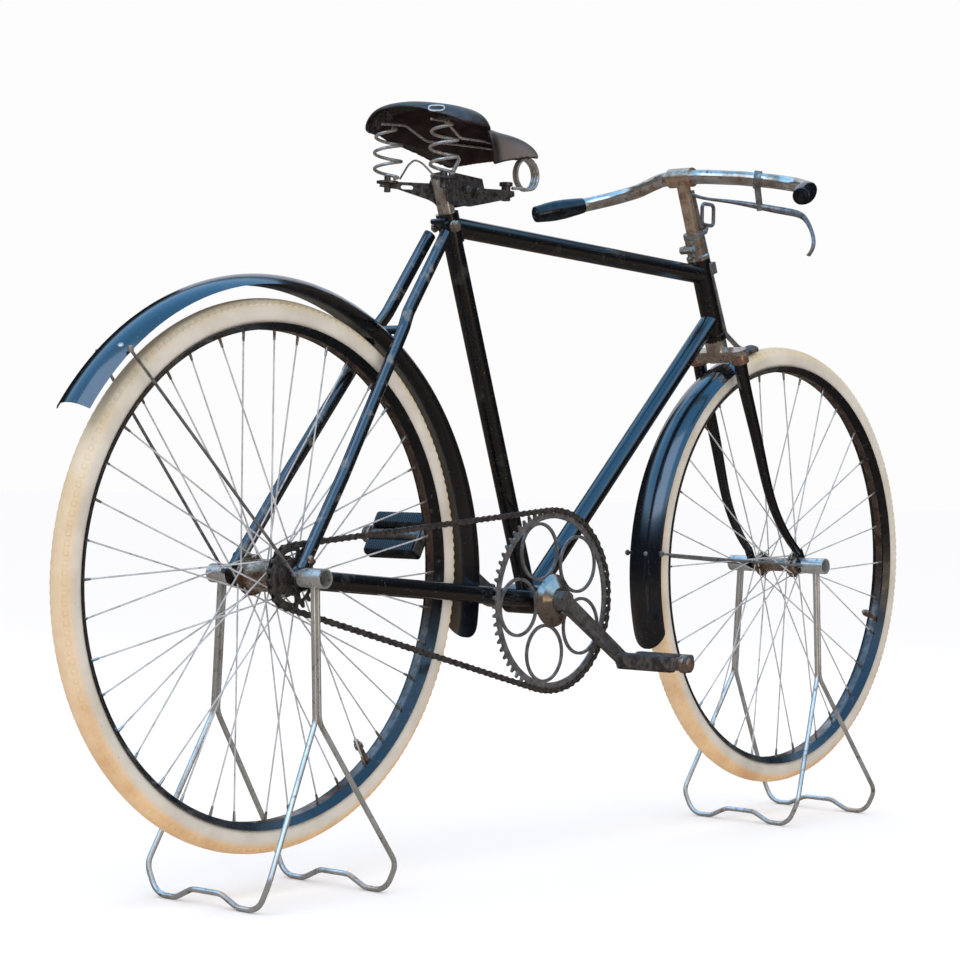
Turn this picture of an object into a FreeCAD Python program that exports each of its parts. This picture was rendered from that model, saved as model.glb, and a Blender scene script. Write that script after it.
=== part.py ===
import FreeCAD, Part
import math
import os
import re

import Sketcher
from FreeCAD import Vector

# A roadster safety bicycle of the early twentieth century on two wire axle stands.
# X points forward, Y to the rider's left and Z up. The origin is on the floor, midway
# between the axles. Lengths are in millimetres and angles in degrees.

doc = FreeCAD.newDocument("Bicycle")
sheet = doc.addObject("Spreadsheet::Sheet", "Sizes")

SIZES = {
    # Stance
    "wheelbase": 1178,
    "axle_height": 411.4,
    "head_lean": 21.9,
    "fork_offset": 44.6,
    "crank_ahead": 529,
    "crank_drop": 42,
    "pin_fit": 0.05,
    "soft_gap": 0.3,
    # Frame tubes
    "seat_lean": 19.8,
    "seat_tube_length": 553.7,
    "seat_tube_above": 19,
    "seat_lug_wall": 2.5,
    "seat_lug_below": 24,
    "seat_bolt_radius": 4,
    "seat_bolt_half": 13,
    "seat_bolt_sunk": 1,
    "seat_bolt_below": 7,
    "frame_tube_radius": 14,
    "seat_tube_radius": 13.5,
    "tube_wall": 1.5,
    "head_tube_radius": 15,
    "head_tube_wall": 1.8,
    "head_tube_bottom": 404,
    "head_tube_length": 132,
    "race_height": 8,
    "race_lip": 2.2,
    "top_tube_below_head_top": 26,
    "down_tube_above_head_bottom": 34,
    "shell_radius": 21,
    "shell_half_width": 34,
    # Stays and rear ends
    "seat_stay_height": 19,
    "seat_stay_width": 15,
    "seat_stay_top_spread": 15,
    "seat_stay_top_below": 13,
    "seat_stay_top_behind": 24,
    "seat_stay_foot_behind": 8,
    "stay_kink_upper": 352,
    "stay_kink_lower": 331,
    "stay_bow": 130,
    "stay_kink_upper_spread": 19,
    "stay_kink_lower_spread": 25,
    "stay_bow_spread": 50.5,
    "stay_foot": 8,
    "stay_foot_spread": 60.5,
    "stay_bend": 30,
    "stay_end_room": 14,
    "chain_stay_height": 24,
    "chain_stay_width": 17,
    "chain_stay_spread": 18,
    "chain_stay_ahead": 10,
    "chain_stay_below_axle": 2,
    "rear_end_spread": 59.5,
    "rear_end_plate": 5,
    "rear_end_radius": 17,
    "bridge_radius": 6,
    "upper_bridge_height": 328,
    "lower_bridge_ahead": 404,
    "lower_bridge_drop": 31,
    # Wheels
    "tyre_ring_radius": 336.5,
    "tyre_radius": 19,
    "rim_outer_radius": 324,
    "rim_inner_radius": 315,
    "rim_half_width": 17.5,
    "spoke_radius": 1.1,
    "spoke_lean": 72,
    "spoke_hole_inset": 4,
    "spoke_rim_spread": 3,
    "valve_radius": 4,
    "valve_length": 26,
    "valve_nut_radius": 6,
    "valve_nut_height": 3,
    "rear_valve_turn": -52.5,
    "front_valve_turn": -17.5,
    "rear_spokes_count": 40,
    "front_spokes_count": 32,
    "axle_radius": 4.8,
    "axle_nut_radius": 9,
    "axle_nut_length": 9,
    "axle_end_length": 5,
    "axle_cone_radius": 8,
    "front_flange_radius": 20,
    "front_flange_spread": 30,
    "front_barrel_radius": 11,
    "front_hub_half": 41.5,
    "front_hub_end_radius": 13,
    "rear_flange_radius": 27,
    "rear_flange_spread": 29,
    "rear_barrel_radius": 21,
    "rear_hub_half": 35,
    "rear_hub_end_radius": 19,
    "rear_cone_out": 12,
    "flange_thickness": 3,
    "bearing_gap": 0.5,
    # Drive
    "chain_line": 45,
    "chain_pitch": 12.7,
    "chainring_teeth": 64,
    "sprocket_teeth": 20,
    "tooth_thickness": 3,
    "tooth_tip": 3.2,
    "tooth_root_share": 0.3,
    "tooth_tip_share": 0.12,
    "chainring_rim": 12,
    "chainring_loops": 5,
    "chainring_loop_width": 4.5,
    "chainring_loop_overlap": 1.2,
    "chainring_hub_radius": 36,
    "chainring_turn": 42,
    "chain_band_height": 9,
    "chain_inner_width": 5.2,
    "chain_plate": 1.5,
    "chain_pin_radius": 3.6,
    "chain_pin_room": 1,
    "chain_pin_every": 4,
    "chain_joint": 0.05,
    "chain_rear_joint": 2,
    "chain_front_joint": 34,
    "sprocket_carrier_radius": 20,
    "sprocket_windows": 5,
    "sprocket_window_inner": 24,
    "sprocket_window_outer": 33,
    "sprocket_arm_half": 4.5,
    "sprocket_carrier_out": 3,
    "crank_axle_radius": 8,
    "crank_length": 168,
    "crank_angle": 32,
    "crank_inner": 60,
    "crank_thickness": 13,
    "crank_root_radius": 14.5,
    "crank_tip_radius": 11,
    "crank_arm_root_half": 10.5,
    "crank_arm_tip_half": 8.5,
    "boss_radius": 38,
    "boss_lip": 2,
    "boss_shoulder": 7,
    "boss_shoulder_radius": 32,
    "boss_mouth_radius": 19,
    # Pedals
    "pedal_inner": 77,
    "pedal_length": 96,
    "pedal_plate": 3,
    "pedal_spindle_radius": 5,
    "pedal_spindle_short": 8,
    "pedal_barrel_radius": 9,
    "pedal_block_side": 24,
    "pedal_block_spread": 22,
    "pedal_block_chamfer": 6.5,
    "pedal_plate_height": 18,
    "pedal_plate_half": 28,
    "dust_cap_radius": 12.5,
    "dust_cap_length": 13,
    "left_pedal_turn": 117.5,
    # Fork and head
    "steerer_radius": 12.2,
    "quill_radius": 10.3,
    "crown_gap": 2,
    "crown_height": 38,
    "crown_shoulder": 16,
    "crown_plate_height": 17,
    "crown_seat_radius": 17,
    "crown_depth": 27,
    "crown_floor": 4,
    "blade_spread": 39,
    "blade_end_spread": 49,
    "blade_top_long": 12.5,
    "blade_top_thin": 9.5,
    "blade_end_long": 6.5,
    "blade_end_thin": 5,
    "blade_straight_to": 165,
    "blade_sweep": 0.9,
    "blade_curl": 2.2,
    "fork_end_radius": 11,
    "fork_end_plate": 5,
    "fork_end_rise": 24,
    "fork_end_half_width": 7.5,
    "fork_end_overlap": 1.15,
    "fork_eye_radius": 4.5,
    "fork_eye_behind": 19,
    "collar_radius": 15.5,
    "collar_height": 35,
    "collar_flange": 18,
    "collar_flange_height": 6,
    "collar_slope": 2,
    "collar_lip": 2,
    "collar_bolt_up": 21,
    "collar_bolt_behind": 19,
    "collar_bolt_radius": 6.5,
    "collar_bolt_half": 15,
    "collar_ear_half": 9,
    "quill_inside": 66,
    "bar_above_head": 132,
    "bar_radius": 11,
    "stem_sleeve_radius": 15,
    "stem_sleeve_half": 21,
    # Handlebar
    "bar_bend": 60,
    "grip_radius": 16,
    "grip_inner_radius": 12.2,
    "grip_end_radius": 13,
    "grip_length": 86,
    "grip_end_wall": 3,
    "grip_neck_radius": 13.4,
    "grip_edge": 1.5,
    # Lamp bracket and brake
    "lamp_ring_radius": 16,
    "lamp_ring_height": 8,
    "lamp_loop_height": 33,
    "lamp_loop_width": 31,
    "lamp_loop_rod": 3,
    "lamp_loop_ahead": 42,
    "lamp_loop_bend": 7,
    "lamp_arm_rod": 3,
    "lamp_arm_bend": 10,
    "lamp_arm_spread": 12.5,
    "lamp_arm_straight": 16,
    "lamp_arm_short": 6,
    "lamp_arm_end_spread": 2,
    "lamp_arm_up": 4,
    "lamp_arm_end_up": 6,
    "brake_rod_radius": 4,
    "rod_top_ahead": 19,
    "rod_bottom_ahead": 29,
    "rod_below_bar": 26,
    "rod_guide_radius": 7,
    "rod_guide_height": 18,
    "rod_guide_share": 0.54,
    "rod_guide_wall": 2,
    "rod_guide_behind": 24,
    "rod_guide_length": 30,
    "rod_above_crown": 2,
    "rod_bend": 14,
    "rod_foot_up": 6,
    "rod_foot_turn": 2,
    "lever_clamp_radius": 14,
    "lever_clamp_width": 11,
    "lever_post_radius": 5,
    "lever_post_share": 0.55,
    "lever_post_through": 6,
    "shoe_gap": 5,
    "shoe_thickness": 6,
    "shoe_half_width": 14,
    "shoe_start": 104.5,
    "shoe_end": 112,
    # Mudguards
    "guard_half_width": 30,
    "guard_depth": 14,
    "guard_sheet": 1.2,
    "guard_tongue_room": 0.3,
    "rear_guard_radius": 406.7,
    "rear_guard_back": 7.2,
    "rear_guard_down": 20.8,
    "rear_guard_front_angle": -10.2,
    "rear_guard_back_angle": 145.3,
    "front_guard_radius": 355.6,
    "front_guard_back": 24,
    "front_guard_down": 2.4,
    "front_guard_upper_angle": 113.5,
    "front_guard_lower_angle": 200.2,
    "guard_stay_radius": 2,
    "guard_stay_up": 4,
    "guard_stay_in": 3,
    "guard_stay_out": 0.6,
    "guard_washer_radius": 3.5,
    "rear_guard_stay_angle": 131.5,
    "front_guard_stay_angle": 176,
    # Saddle
    "seat_post_radius": 12,
    "seat_post_in": 60,
    "seat_post_out": 75,
    "clamp_on_post": 52,
    "leather": 3.5,
    "cantle_plate": 2.5,
    "cantle_width": 34,
    "cantle_seat_radius": 11,
    "cantle_seat_plate": 3,
    "cantle_post_radius": 6,
    "cantle_post_height": 40,
    "nose_clip_length": 18,
    "nose_clip_width": 16,
    "nose_clip_height": 40,
    "spring_spread": 51,
    "spring_behind": 56,
    "spring_wire": 2.3,
    "spring_turns": 3.25,
    "spring_top_radius": 8,
    "spring_wide_radius": 18.5,
    "spring_foot_radius": 12,
    "spring_top": 84,
    "rail_plate": 3,
    "rail_top": 9,
    "rail_foot_radius": 15,
    "rail_bolt_radius": 4.5,
    "rail_bolt_length": 22,
    "rail_bolt_below": 12,
    "rail_hole_radius": 2.8,
    "rail_hole_half": 5,
    "rail_hole_first": -32,
    "rail_hole_second": 100,
    "rail_hole_up": 2,
    "clamp_length": 44,
    "clamp_half_width": 13.5,
    "clamp_height": 34,
    "clamp_ahead": 14,
    "clamp_below": 14,
    "clamp_bolt_radius": 6,
    "clamp_bolt_half": 20,
    "clamp_bolt_first": 30,
    "clamp_bolt_second": 52,
    "clamp_bolt_up": 2,
    "post_room_out": 95,
    "nose_spring_ahead": 181,
    "nose_spring_up": 40,
    "nose_spring_radius": 22.3,
    "nose_spring_half": 6.5,
    "nose_spring_turns": 2.5,
    "front_bolt_ahead": 138,
    "front_bolt_radius": 6.5,
    "front_bolt_length": 22,
    "front_bolt_below": 2,
    "front_bolt_head_radius": 9.5,
    "front_bolt_head": 5,
    "nose_tail_up": 16,
    "nose_tail_first": 12,
    "nose_tail_second": 20,
    "saddle_wire_radius": 1.8,
    "saddle_wire_bend": 25,
    "spring_tail_radius": 1.44,
    "spring_tail_bend": 8,
    # Stands
    "stand_rod_radius": 3.6,
    "stand_socket_radius": 12.7,
    "stand_socket_wall": 2,
    "stand_socket_length": 40,
    "stand_seat_length": 16,
    "stand_rod_along": 22,
    "stand_split": 181,
    "stand_foot_reach": 116,
    "stand_foot_ahead": 18,
    "stand_foot_spread": 110,
    "stand_rest_spread": 74,
    "stand_bar_rise": 14,
    "stand_bar_half": 26,
    "stand_rest_half": 18,
    "stand_rod_sunk": 4,
    "stand_rod_out": 8,
    "stand_knee": 40,
    "stand_bend": 30,
}

# Bends, each point as its distance ahead, to the left and up from the place that carries it

BENDS = {
    "bar": [(0, 34, 0), (37, 86, -2), (62, 130, -7), (60, 172, -15), (36, 212, -26), (-45, 250, -47)],
    "saddle_wire": [(-76, 45, 85), (-37, 37, 87), (1, 31, 69), (59, 28, 71), (126, 13, 71), (169, 7, 69)],
    "spring_tail": [(-36, 46, 14), (-21, 45, 34), (-13, 40, 43), (-3, 34, 38), (3, 17, 20)],
}

# The lever's spots from the middle of the handlebar, then its half width and half thickness

LEVER = [
    (22, -6, -24, 4, 3),
    (32, -40, -33, 5.5, 2.6),
    (48, -84, -40, 6, 4),
    (66, -126, -49, 5, 5.5),
    (68, -164, -57, 4.5, 5.5),
    (56, -192, -69, 4, 4),
    (48, -206, -83, 4.5, 2.6),
    (42, -216, -100, 4.2, 2.6),
    (35, -212, -127, 4, 2.6),
]

# The leather's sections, each as its place ahead of the clamp, half width, hem height and top height

LEATHER = [
    (-100, 24, 92, 103),
    (-94, 48, 84, 107.5),
    (-84, 67, 76, 110.5),
    (-62, 90, 70, 112),
    (-24, 92, 69, 112),
    (11, 79, 62, 108.5),
    (36, 59, 47, 104),
    (61, 43, 32, 99),
    (106, 28.5, 32, 93),
    (163, 21.5, 42, 88),
    (188, 17, 54, 79),
    (199, 8, 61, 71),
]

# The cut edge of the leather on the right and on the left, seen from the side

HEM = [(-100, 101), (-84, 90.5), (-62, 79.5), (-24, 78.5), (16, 79.5), (42, 81.5), (47.5, 78), (57, 42),
       (61, 38.5), (68, 40), (106, 49), (163, 60), (188, 62), (198, 67), (215, 70)]
HEM_LEFT = [(-100, 101), (-84, 90.5), (-62, 79.5), (-30, 76), (0, 66), (22, 57), (33, 50.5), (44, 45),
            (57, 41), (61, 38.5), (68, 40), (106, 49), (163, 60), (188, 62), (198, 67), (215, 70)]

# The side plates under the leather, seen from the side and from above

RAIL_SIDE = [(-66, 1), (-62, 9), (-6, 9), (-1, 24), (68, 21), (73, 8), (128, 12), (147, 12), (148, 5),
             (131, -1), (44, -20), (6, -21), (-6, -14), (-42, -1)]
RAIL_PLAN = [(-66, 56), (-49, 49), (-10, 20), (0, 13.5), (76, 13.5), (116, 9), (148, 6.5)]

row = 0
for alias, number in SIZES.items():
    row += 1
    sheet.set("A%d" % row, alias.replace("_", " "))
    sheet.set("B%d" % row, str(number))
    sheet.setAlias("B%d" % row, alias)
for title, table in (("lever", LEVER), ("leather", LEATHER), ("hem", HEM), ("left hem", HEM_LEFT),
                     ("rail side", RAIL_SIDE), ("rail plan", RAIL_PLAN)) + tuple(BENDS.items()):
    for spot in table:
        row += 1
        sheet.set("A%d" % row, title.replace("_", " "))
        for column, number in zip("BCDEF", spot):
            sheet.set("%s%d" % (column, row), str(number))
doc.recompute()


def size(text):
    """The value of an expression in the sheet's names."""
    return float(sheet.evalExpression(text))


def named(text):
    """The same expression with each of the sheet's names written in full."""
    def in_full(word):
        return "Sizes." + word.group() if word.group() in SIZES else word.group()
    return re.sub(r"[a-z][a-z_]+", in_full, text)


parts = {}


def keep(label, thing):
    """Name a finished piece."""
    thing.Label = label
    parts[label] = thing
    return thing


def sketch_on(body, role, corners):
    """A closed outline on one of the body's own planes, each corner tied to the sheet.

    A corner is (across, up) or (across, up, radius), where the radius is that of the arc
    that leads on to the next corner, positive if it turns anticlockwise.
    """
    sketch = body.newObject("Sketcher::SketchObject", body.Name + "_outline")
    plane = [feature for feature in body.Origin.OriginFeatures if feature.Role == role][0]
    sketch.AttachmentSupport = [(plane, "")]
    sketch.MapMode = "FlatFace"
    spots = [Vector(size(corner[0]), size(corner[1]), 0) for corner in corners]
    starts = []
    for index, corner in enumerate(corners):
        start = spots[index]
        end = spots[(index + 1) % len(spots)]
        if len(corner) == 2:
            sketch.addGeometry(Part.LineSegment(start, end), False)
            starts.append((1, 2))
            continue
        radius = size(corner[2])
        chord = end - start
        side = Vector(-chord.y, chord.x, 0).normalize()
        reach = math.sqrt(max(radius ** 2 - (chord.Length / 2) ** 2, 0))
        centre = start + chord / 2 + side * math.copysign(reach, radius)
        circle = Part.Circle(centre, Vector(0, 0, 1), abs(radius))
        first, last = (start, end) if radius > 0 else (end, start)
        angles = [math.atan2(spot.y - centre.y, spot.x - centre.x) for spot in (first, last)]
        sketch.addGeometry(Part.ArcOfCircle(circle, angles[0], angles[1]), False)
        starts.append((1, 2) if radius > 0 else (2, 1))
        rule = sketch.addConstraint(Sketcher.Constraint("Radius", index, abs(radius)))
        sketch.setExpression("Constraints[%d]" % rule, named("abs(%s)" % corner[2]))
    for index, corner in enumerate(corners):
        after = (index + 1) % len(corners)
        sketch.addConstraint(Sketcher.Constraint("Coincident", index, starts[index][1],
                                                 after, starts[after][0]))
        for kind, value, text in (("DistanceX", spots[index].x, corner[0]),
                                  ("DistanceY", spots[index].y, corner[1])):
            rule = sketch.addConstraint(Sketcher.Constraint(kind, -1, 1, index, starts[index][0], value))
            sketch.setExpression("Constraints[%d]" % rule, named(text))
    return sketch


def new_body(name, place):
    body = doc.addObject("PartDesign::Body", name)
    if place:
        body.setExpression("Placement", named(place))
    return body


def turned(name, corners, place="", role="XZ_Plane", angle="360"):
    """A piece turned about its own upright sketch axis."""
    body = new_body(name, place)
    sketch = sketch_on(body, role, corners)
    turn = body.newObject("PartDesign::Revolution", name + "_turn")
    turn.Profile = sketch
    turn.ReferenceAxis = (sketch, ["V_Axis"])
    turn.setExpression("Angle", named(angle))
    turn.Reversed = role == "XY_Plane"
    sketch.Visibility = False
    return body


def solid(name, shape):
    """A piece whose shape is worked out along a bent path."""
    feature = doc.addObject("Part::Feature", name)
    feature.Shape = shape
    return feature


def cut(name, base, tools):
    """A piece with the room for its neighbours taken out."""
    for count, tool in enumerate(tools):
        fitted = doc.addObject("Part::Cut", "%s_cut_%d" % (name, count))
        fitted.Base = base
        fitted.Tool = tool
        base = fitted
    return base


def joined(name, pieces):
    fused = doc.addObject("Part::MultiFuse", name + "_joined")
    fused.Shapes = pieces
    return fused


def tube(inner, outer, low, high):
    """The outline of a plain tube."""
    return [(inner, low), (outer, low), (outer, high), (inner, high)]


def rod_outline(radius, low, high):
    return tube("0", radius, low, high)


def bend_path(spots, bend):
    """Straight runs joined by arcs of one radius, or less where a run is too short for it."""
    edges = []
    start = spots[0]
    for before, corner, after in zip(spots, spots[1:], spots[2:]):
        arriving = (corner - before).normalize()
        leaving = (after - corner).normalize()
        turn = arriving.getAngle(leaving)
        shorter = min((corner - before).Length, (after - corner).Length)
        cutback = min(bend * math.tan(turn / 2), 0.48 * shorter)
        radius = cutback / math.tan(turn / 2)
        first = corner - arriving * cutback
        last = corner + leaving * cutback
        inward = (leaving - arriving).normalize()
        centre = corner + inward * (radius / math.cos(turn / 2))
        middle = centre - inward * radius
        edges.append(Part.LineSegment(start, first).toShape())
        edges.append(Part.Arc(first, middle, last).toShape())
        start = last
    edges.append(Part.LineSegment(start, spots[-1]).toShape())
    return Part.Wire(edges)


def pipe(spots, bend, radius):
    """A round bar bent along a path."""
    path = bend_path(spots, bend)
    ring = Part.Wire([Part.Circle(spots[0], spots[1] - spots[0], radius).toShape()])
    return path.makePipe(Part.Face(ring))


def mirrored(spots):
    return [Vector(spot.x, -spot.y, spot.z) for spot in spots]


def oval(centre, along, across, half_across, half_other):
    """An oval ring square to one direction, with its first half width along another."""
    wide, narrow = half_across, half_other
    other = along.cross(across).normalize()
    if narrow > wide:
        wide, narrow = narrow, wide
        across, other = other, across * -1
    ring = Part.Ellipse(Vector(0, 0, 0), wide, narrow).toShape()
    ring.Placement = FreeCAD.Placement(centre, FreeCAD.Rotation(across, other, along, "ZXY"))
    return Part.Wire([ring])


def tapered(stations, across):
    """A bar of oval sections, each station given as a spot and two half widths."""
    rings = []
    for index, (spot, half_across, half_other) in enumerate(stations):
        before = stations[max(index - 1, 0)][0]
        after = stations[min(index + 1, len(stations) - 1)][0]
        along = (after - before).normalize()
        square = (across - along * across.dot(along)).normalize()
        rings.append(oval(spot, along, square, half_across, half_other))
    return Part.makeLoft(rings, True, False)


def slab(corners, low, high, upright):
    """A flat plate whose outline is seen from the side, or from above if it is upright."""
    if upright:
        spots = [Vector(corner[0], corner[1], low) for corner in corners]
        rise = Vector(0, 0, high - low)
    else:
        spots = [Vector(corner[0], low, corner[1]) for corner in corners]
        rise = Vector(0, high - low, 0)
    return Part.Face(Part.makePolygon(spots + spots[:1])).extrude(rise)


def largest(shape):
    return max(shape.Solids, key=lambda one: one.Volume)


# Places that the pieces share

REAR_AXLE = "placement(vector(-wheelbase / 2; 0; axle_height); rotation(vector(0; 1; 0); 0))"
FRONT_AXLE = "placement(vector(wheelbase / 2; 0; axle_height); rotation(vector(0; 1; 0); 0))"
CRANK_X = "(crank_ahead - wheelbase / 2)"
CRANK_Z = "(axle_height - crank_drop)"
CRANK_AXLE = "placement(vector(%s; 0; %s); rotation(vector(0; 1; 0); 0))" % (CRANK_X, CRANK_Z)
SEAT_TUBE = "placement(vector(%s; 0; %s); rotation(vector(0; 1; 0); -seat_lean))" % (CRANK_X, CRANK_Z)
STEERING = (
    "placement(vector(wheelbase / 2 - fork_offset * cos(head_lean); 0;"
    " axle_height - fork_offset * sin(head_lean)); rotation(vector(0; 1; 0); -head_lean))"
)

rear_axle_at = Vector(-size("wheelbase") / 2, 0, size("axle_height"))
front_axle_at = Vector(size("wheelbase") / 2, 0, size("axle_height"))
crank_at = Vector(size(CRANK_X), 0, size(CRANK_Z))
head_lean = math.radians(size("head_lean"))
seat_lean = math.radians(size("seat_lean"))
steering_forward = Vector(math.cos(head_lean), 0, math.sin(head_lean))
steering_up = Vector(-math.sin(head_lean), 0, math.cos(head_lean))
steering_foot = front_axle_at - steering_forward * size("fork_offset")
seat_up = Vector(-math.sin(seat_lean), 0, math.cos(seat_lean))
seat_cluster = crank_at + seat_up * size("seat_tube_length")
saddle_at = seat_cluster + seat_up * size("clamp_on_post")

# Heights along the steering axis

HEAD_TOP = "(head_tube_bottom + head_tube_length)"
CROWN_TOP = "(head_tube_bottom - crown_gap)"
CROWN_BOTTOM = "(head_tube_bottom - crown_gap - crown_height)"
CROWN_PLATE_BOTTOM = "(head_tube_bottom - crown_gap - crown_shoulder - crown_plate_height)"
COLLAR_TOP = "(head_tube_bottom + head_tube_length + collar_height)"
BAR_HEIGHT = "(head_tube_bottom + head_tube_length + bar_above_head)"


def on_steering(forward, left, up):
    """A place given along and across the steering axis."""
    return steering_foot + steering_forward * forward + Vector(0, left, 0) + steering_up * up


# Head tube with its two races

head_bore = "steerer_radius + pin_fit"
head_outside = [
    ("head_tube_radius + race_lip", "head_tube_bottom"),
    ("head_tube_radius + race_lip", "head_tube_bottom + race_height"),
    ("head_tube_radius", "head_tube_bottom + race_height"),
    ("head_tube_radius", HEAD_TOP + " - race_height"),
    ("head_tube_radius + race_lip", HEAD_TOP + " - race_height"),
    ("head_tube_radius + race_lip", HEAD_TOP),
]
head_tube = turned("head_tube_body", [(head_bore, "head_tube_bottom")] + head_outside + [
    (head_bore, HEAD_TOP),
    (head_bore, HEAD_TOP + " - race_height"),
    ("head_tube_radius - head_tube_wall", HEAD_TOP + " - race_height"),
    ("head_tube_radius - head_tube_wall", "head_tube_bottom + race_height"),
    (head_bore, "head_tube_bottom + race_height"),
], STEERING)
keep("head_tube", head_tube)

# Solid cores that the tubes are mitred against

head_core = turned("head_core", [("0", "head_tube_bottom")] + head_outside + [("0", HEAD_TOP)], STEERING)
seat_core = turned("seat_core", rod_outline("seat_tube_radius", "0", "seat_tube_length + seat_tube_above"),
                   SEAT_TUBE)
shell_core = turned("shell_core", rod_outline("shell_radius", "-shell_half_width", "shell_half_width"),
                    CRANK_AXLE, "XY_Plane")

# Seat tube, bottom bracket shell, top tube and down tube

shell = turned("shell_body", tube("crank_axle_radius + pin_fit", "shell_radius",
                                  "-shell_half_width", "shell_half_width"), CRANK_AXLE, "XY_Plane")
keep("bottom_bracket_shell", shell)

seat_tube = turned("seat_tube_body", tube("seat_post_radius", "seat_tube_radius", "0",
                                          "seat_tube_length + seat_tube_above"), SEAT_TUBE)
keep("seat_tube", cut("seat_tube", seat_tube, [shell_core]))


def between(start, end):
    """The placement whose upright axis runs from one place to the other."""
    return FreeCAD.Placement(start, FreeCAD.Rotation(Vector(0, 0, 1), end - start))


def frame_tube(name, start, end, tools):
    length = (end - start).Length
    outer = Part.makeCylinder(size("frame_tube_radius"), length)
    inner = Part.makeCylinder(size("frame_tube_radius - tube_wall"), length)
    piece = solid(name + "_blank", outer.cut(inner))
    piece.Placement = between(start, end)
    return keep(name, cut(name, piece, tools))


top_tube_head = on_steering(0, 0, size(HEAD_TOP + " - top_tube_below_head_top"))
down_tube_head = on_steering(0, 0, size("head_tube_bottom + down_tube_above_head_bottom"))
frame_tube("top_tube", seat_cluster, top_tube_head, [seat_core, head_core])
frame_tube("down_tube", crank_at, down_tube_head, [shell_core, head_core, seat_core])

# Seat lug, seat stays, chain stays with their rear ends

lug_sleeve = turned("seat_lug_sleeve", tube(
    "seat_tube_radius", "seat_tube_radius + seat_lug_wall",
    "seat_tube_length - seat_lug_below", "seat_tube_length + seat_tube_above"), SEAT_TUBE)
seat_bolt = doc.addObject("Part::Cylinder", "seat_bolt")
seat_bolt.setExpression("Radius", named("seat_bolt_radius"))
seat_bolt.setExpression("Height", named("2 * seat_bolt_half"))
seat_bolt.setExpression("Placement", named(
    SEAT_TUBE + " * placement(vector(seat_bolt_sunk - seat_tube_radius - seat_lug_wall - seat_bolt_radius;"
    " seat_bolt_half; seat_tube_length + seat_tube_above - seat_bolt_below);"
    " rotation(vector(1; 0; 0); 90))"))
top_tube_core = solid("top_tube_core", Part.makeCylinder(size("frame_tube_radius"),
                                                         (top_tube_head - seat_cluster).Length))
top_tube_core.Placement = between(seat_cluster, top_tube_head)
keep("seat_lug", cut("seat_lug", joined("seat_lug", [lug_sleeve, seat_bolt]), [top_tube_core, seat_core]))


def disc(radius, centre, low, high):
    """A round disc on a wheel axis between two distances to the left of the middle."""
    return Part.makeCylinder(radius, high - low, centre + Vector(0, low, 0), Vector(0, 1, 0))


def on_stay(height, spread):
    """A place on a seat stay, at a height above the axle."""
    top = seat_cluster - Vector(size("seat_stay_top_behind"), 0, size("seat_stay_top_below"))
    foot = rear_axle_at - Vector(size("seat_stay_foot_behind"), 0, 0)
    place = foot + (top - foot) * (height / (top.z - foot.z))
    return Vector(place.x, spread, place.z)


def seat_stay(side):
    """An oval tube that spreads at its kink and bows outward down to the rear end."""
    top_height = size("seat_tube_length") * math.cos(seat_lean) - size("crank_drop + seat_stay_top_below")
    corners = [(top_height, "seat_stay_top_spread"), (size("stay_kink_upper"), "stay_kink_upper_spread"),
               (size("stay_kink_lower"), "stay_kink_lower_spread"), (size("stay_bow"), "stay_bow_spread"),
               (size("stay_foot"), "stay_foot_spread")]
    spots = [on_stay(height, side * size(spread)) for height, spread in corners]
    path = bend_path(spots, size("stay_bend"))
    along = (spots[1] - spots[0]).normalize()
    ring = oval(spots[0], along, along.cross(Vector(0, 1, 0)).normalize(), size("seat_stay_height / 2"),
                size("seat_stay_width / 2"))
    eye = disc(size("stay_end_room"), rear_axle_at, -90, 90)
    return path.makePipe(Part.Face(ring)).cut(eye)


def chain_stay(side):
    """An oval tube ending in a flat rear end with the axle's hole."""
    start = rear_axle_at + Vector(size("chain_stay_ahead"), side * size("rear_end_spread"),
                                  -size("chain_stay_below_axle"))
    end = Vector(crank_at.x, side * size("chain_stay_spread"), crank_at.z)
    along = (end - start).normalize()
    upward = (Vector(0, 0, 1) - along * along.z).normalize()
    ring = oval(start, along, upward, size("chain_stay_height / 2"), size("chain_stay_width / 2"))
    stay = Part.Face(ring).extrude(end - start)
    half = size("rear_end_plate / 2")
    middle = rear_axle_at + Vector(0, side * size("rear_end_spread"), 0)
    end_plate = disc(size("rear_end_radius"), middle, -half, half)
    hole = disc(size("axle_radius + pin_fit"), middle, -20, 20)
    shape = stay.cut(disc(size("shell_radius"), crank_at, -200, 200))
    room = disc(size("rear_end_radius"), middle, -15, 15)
    return shape.cut(room).fuse(end_plate).cut(hole).removeSplitter()


stays = {}
for word, side in (("left", 1), ("right", -1)):
    stay = solid(word + "_chain_stay_body", chain_stay(side))
    stays[word + "_chain_stay"] = keep(word + "_chain_stay", cut(word + "_chain_stay", stay, [seat_core]))
    upper = solid(word + "_seat_stay_body", seat_stay(side))
    fitted = cut(word + "_seat_stay", upper, [parts["seat_lug"], seat_core, stay])
    stays[word + "_seat_stay"] = keep(word + "_seat_stay", fitted)

# Axles with their nuts and cones


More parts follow.
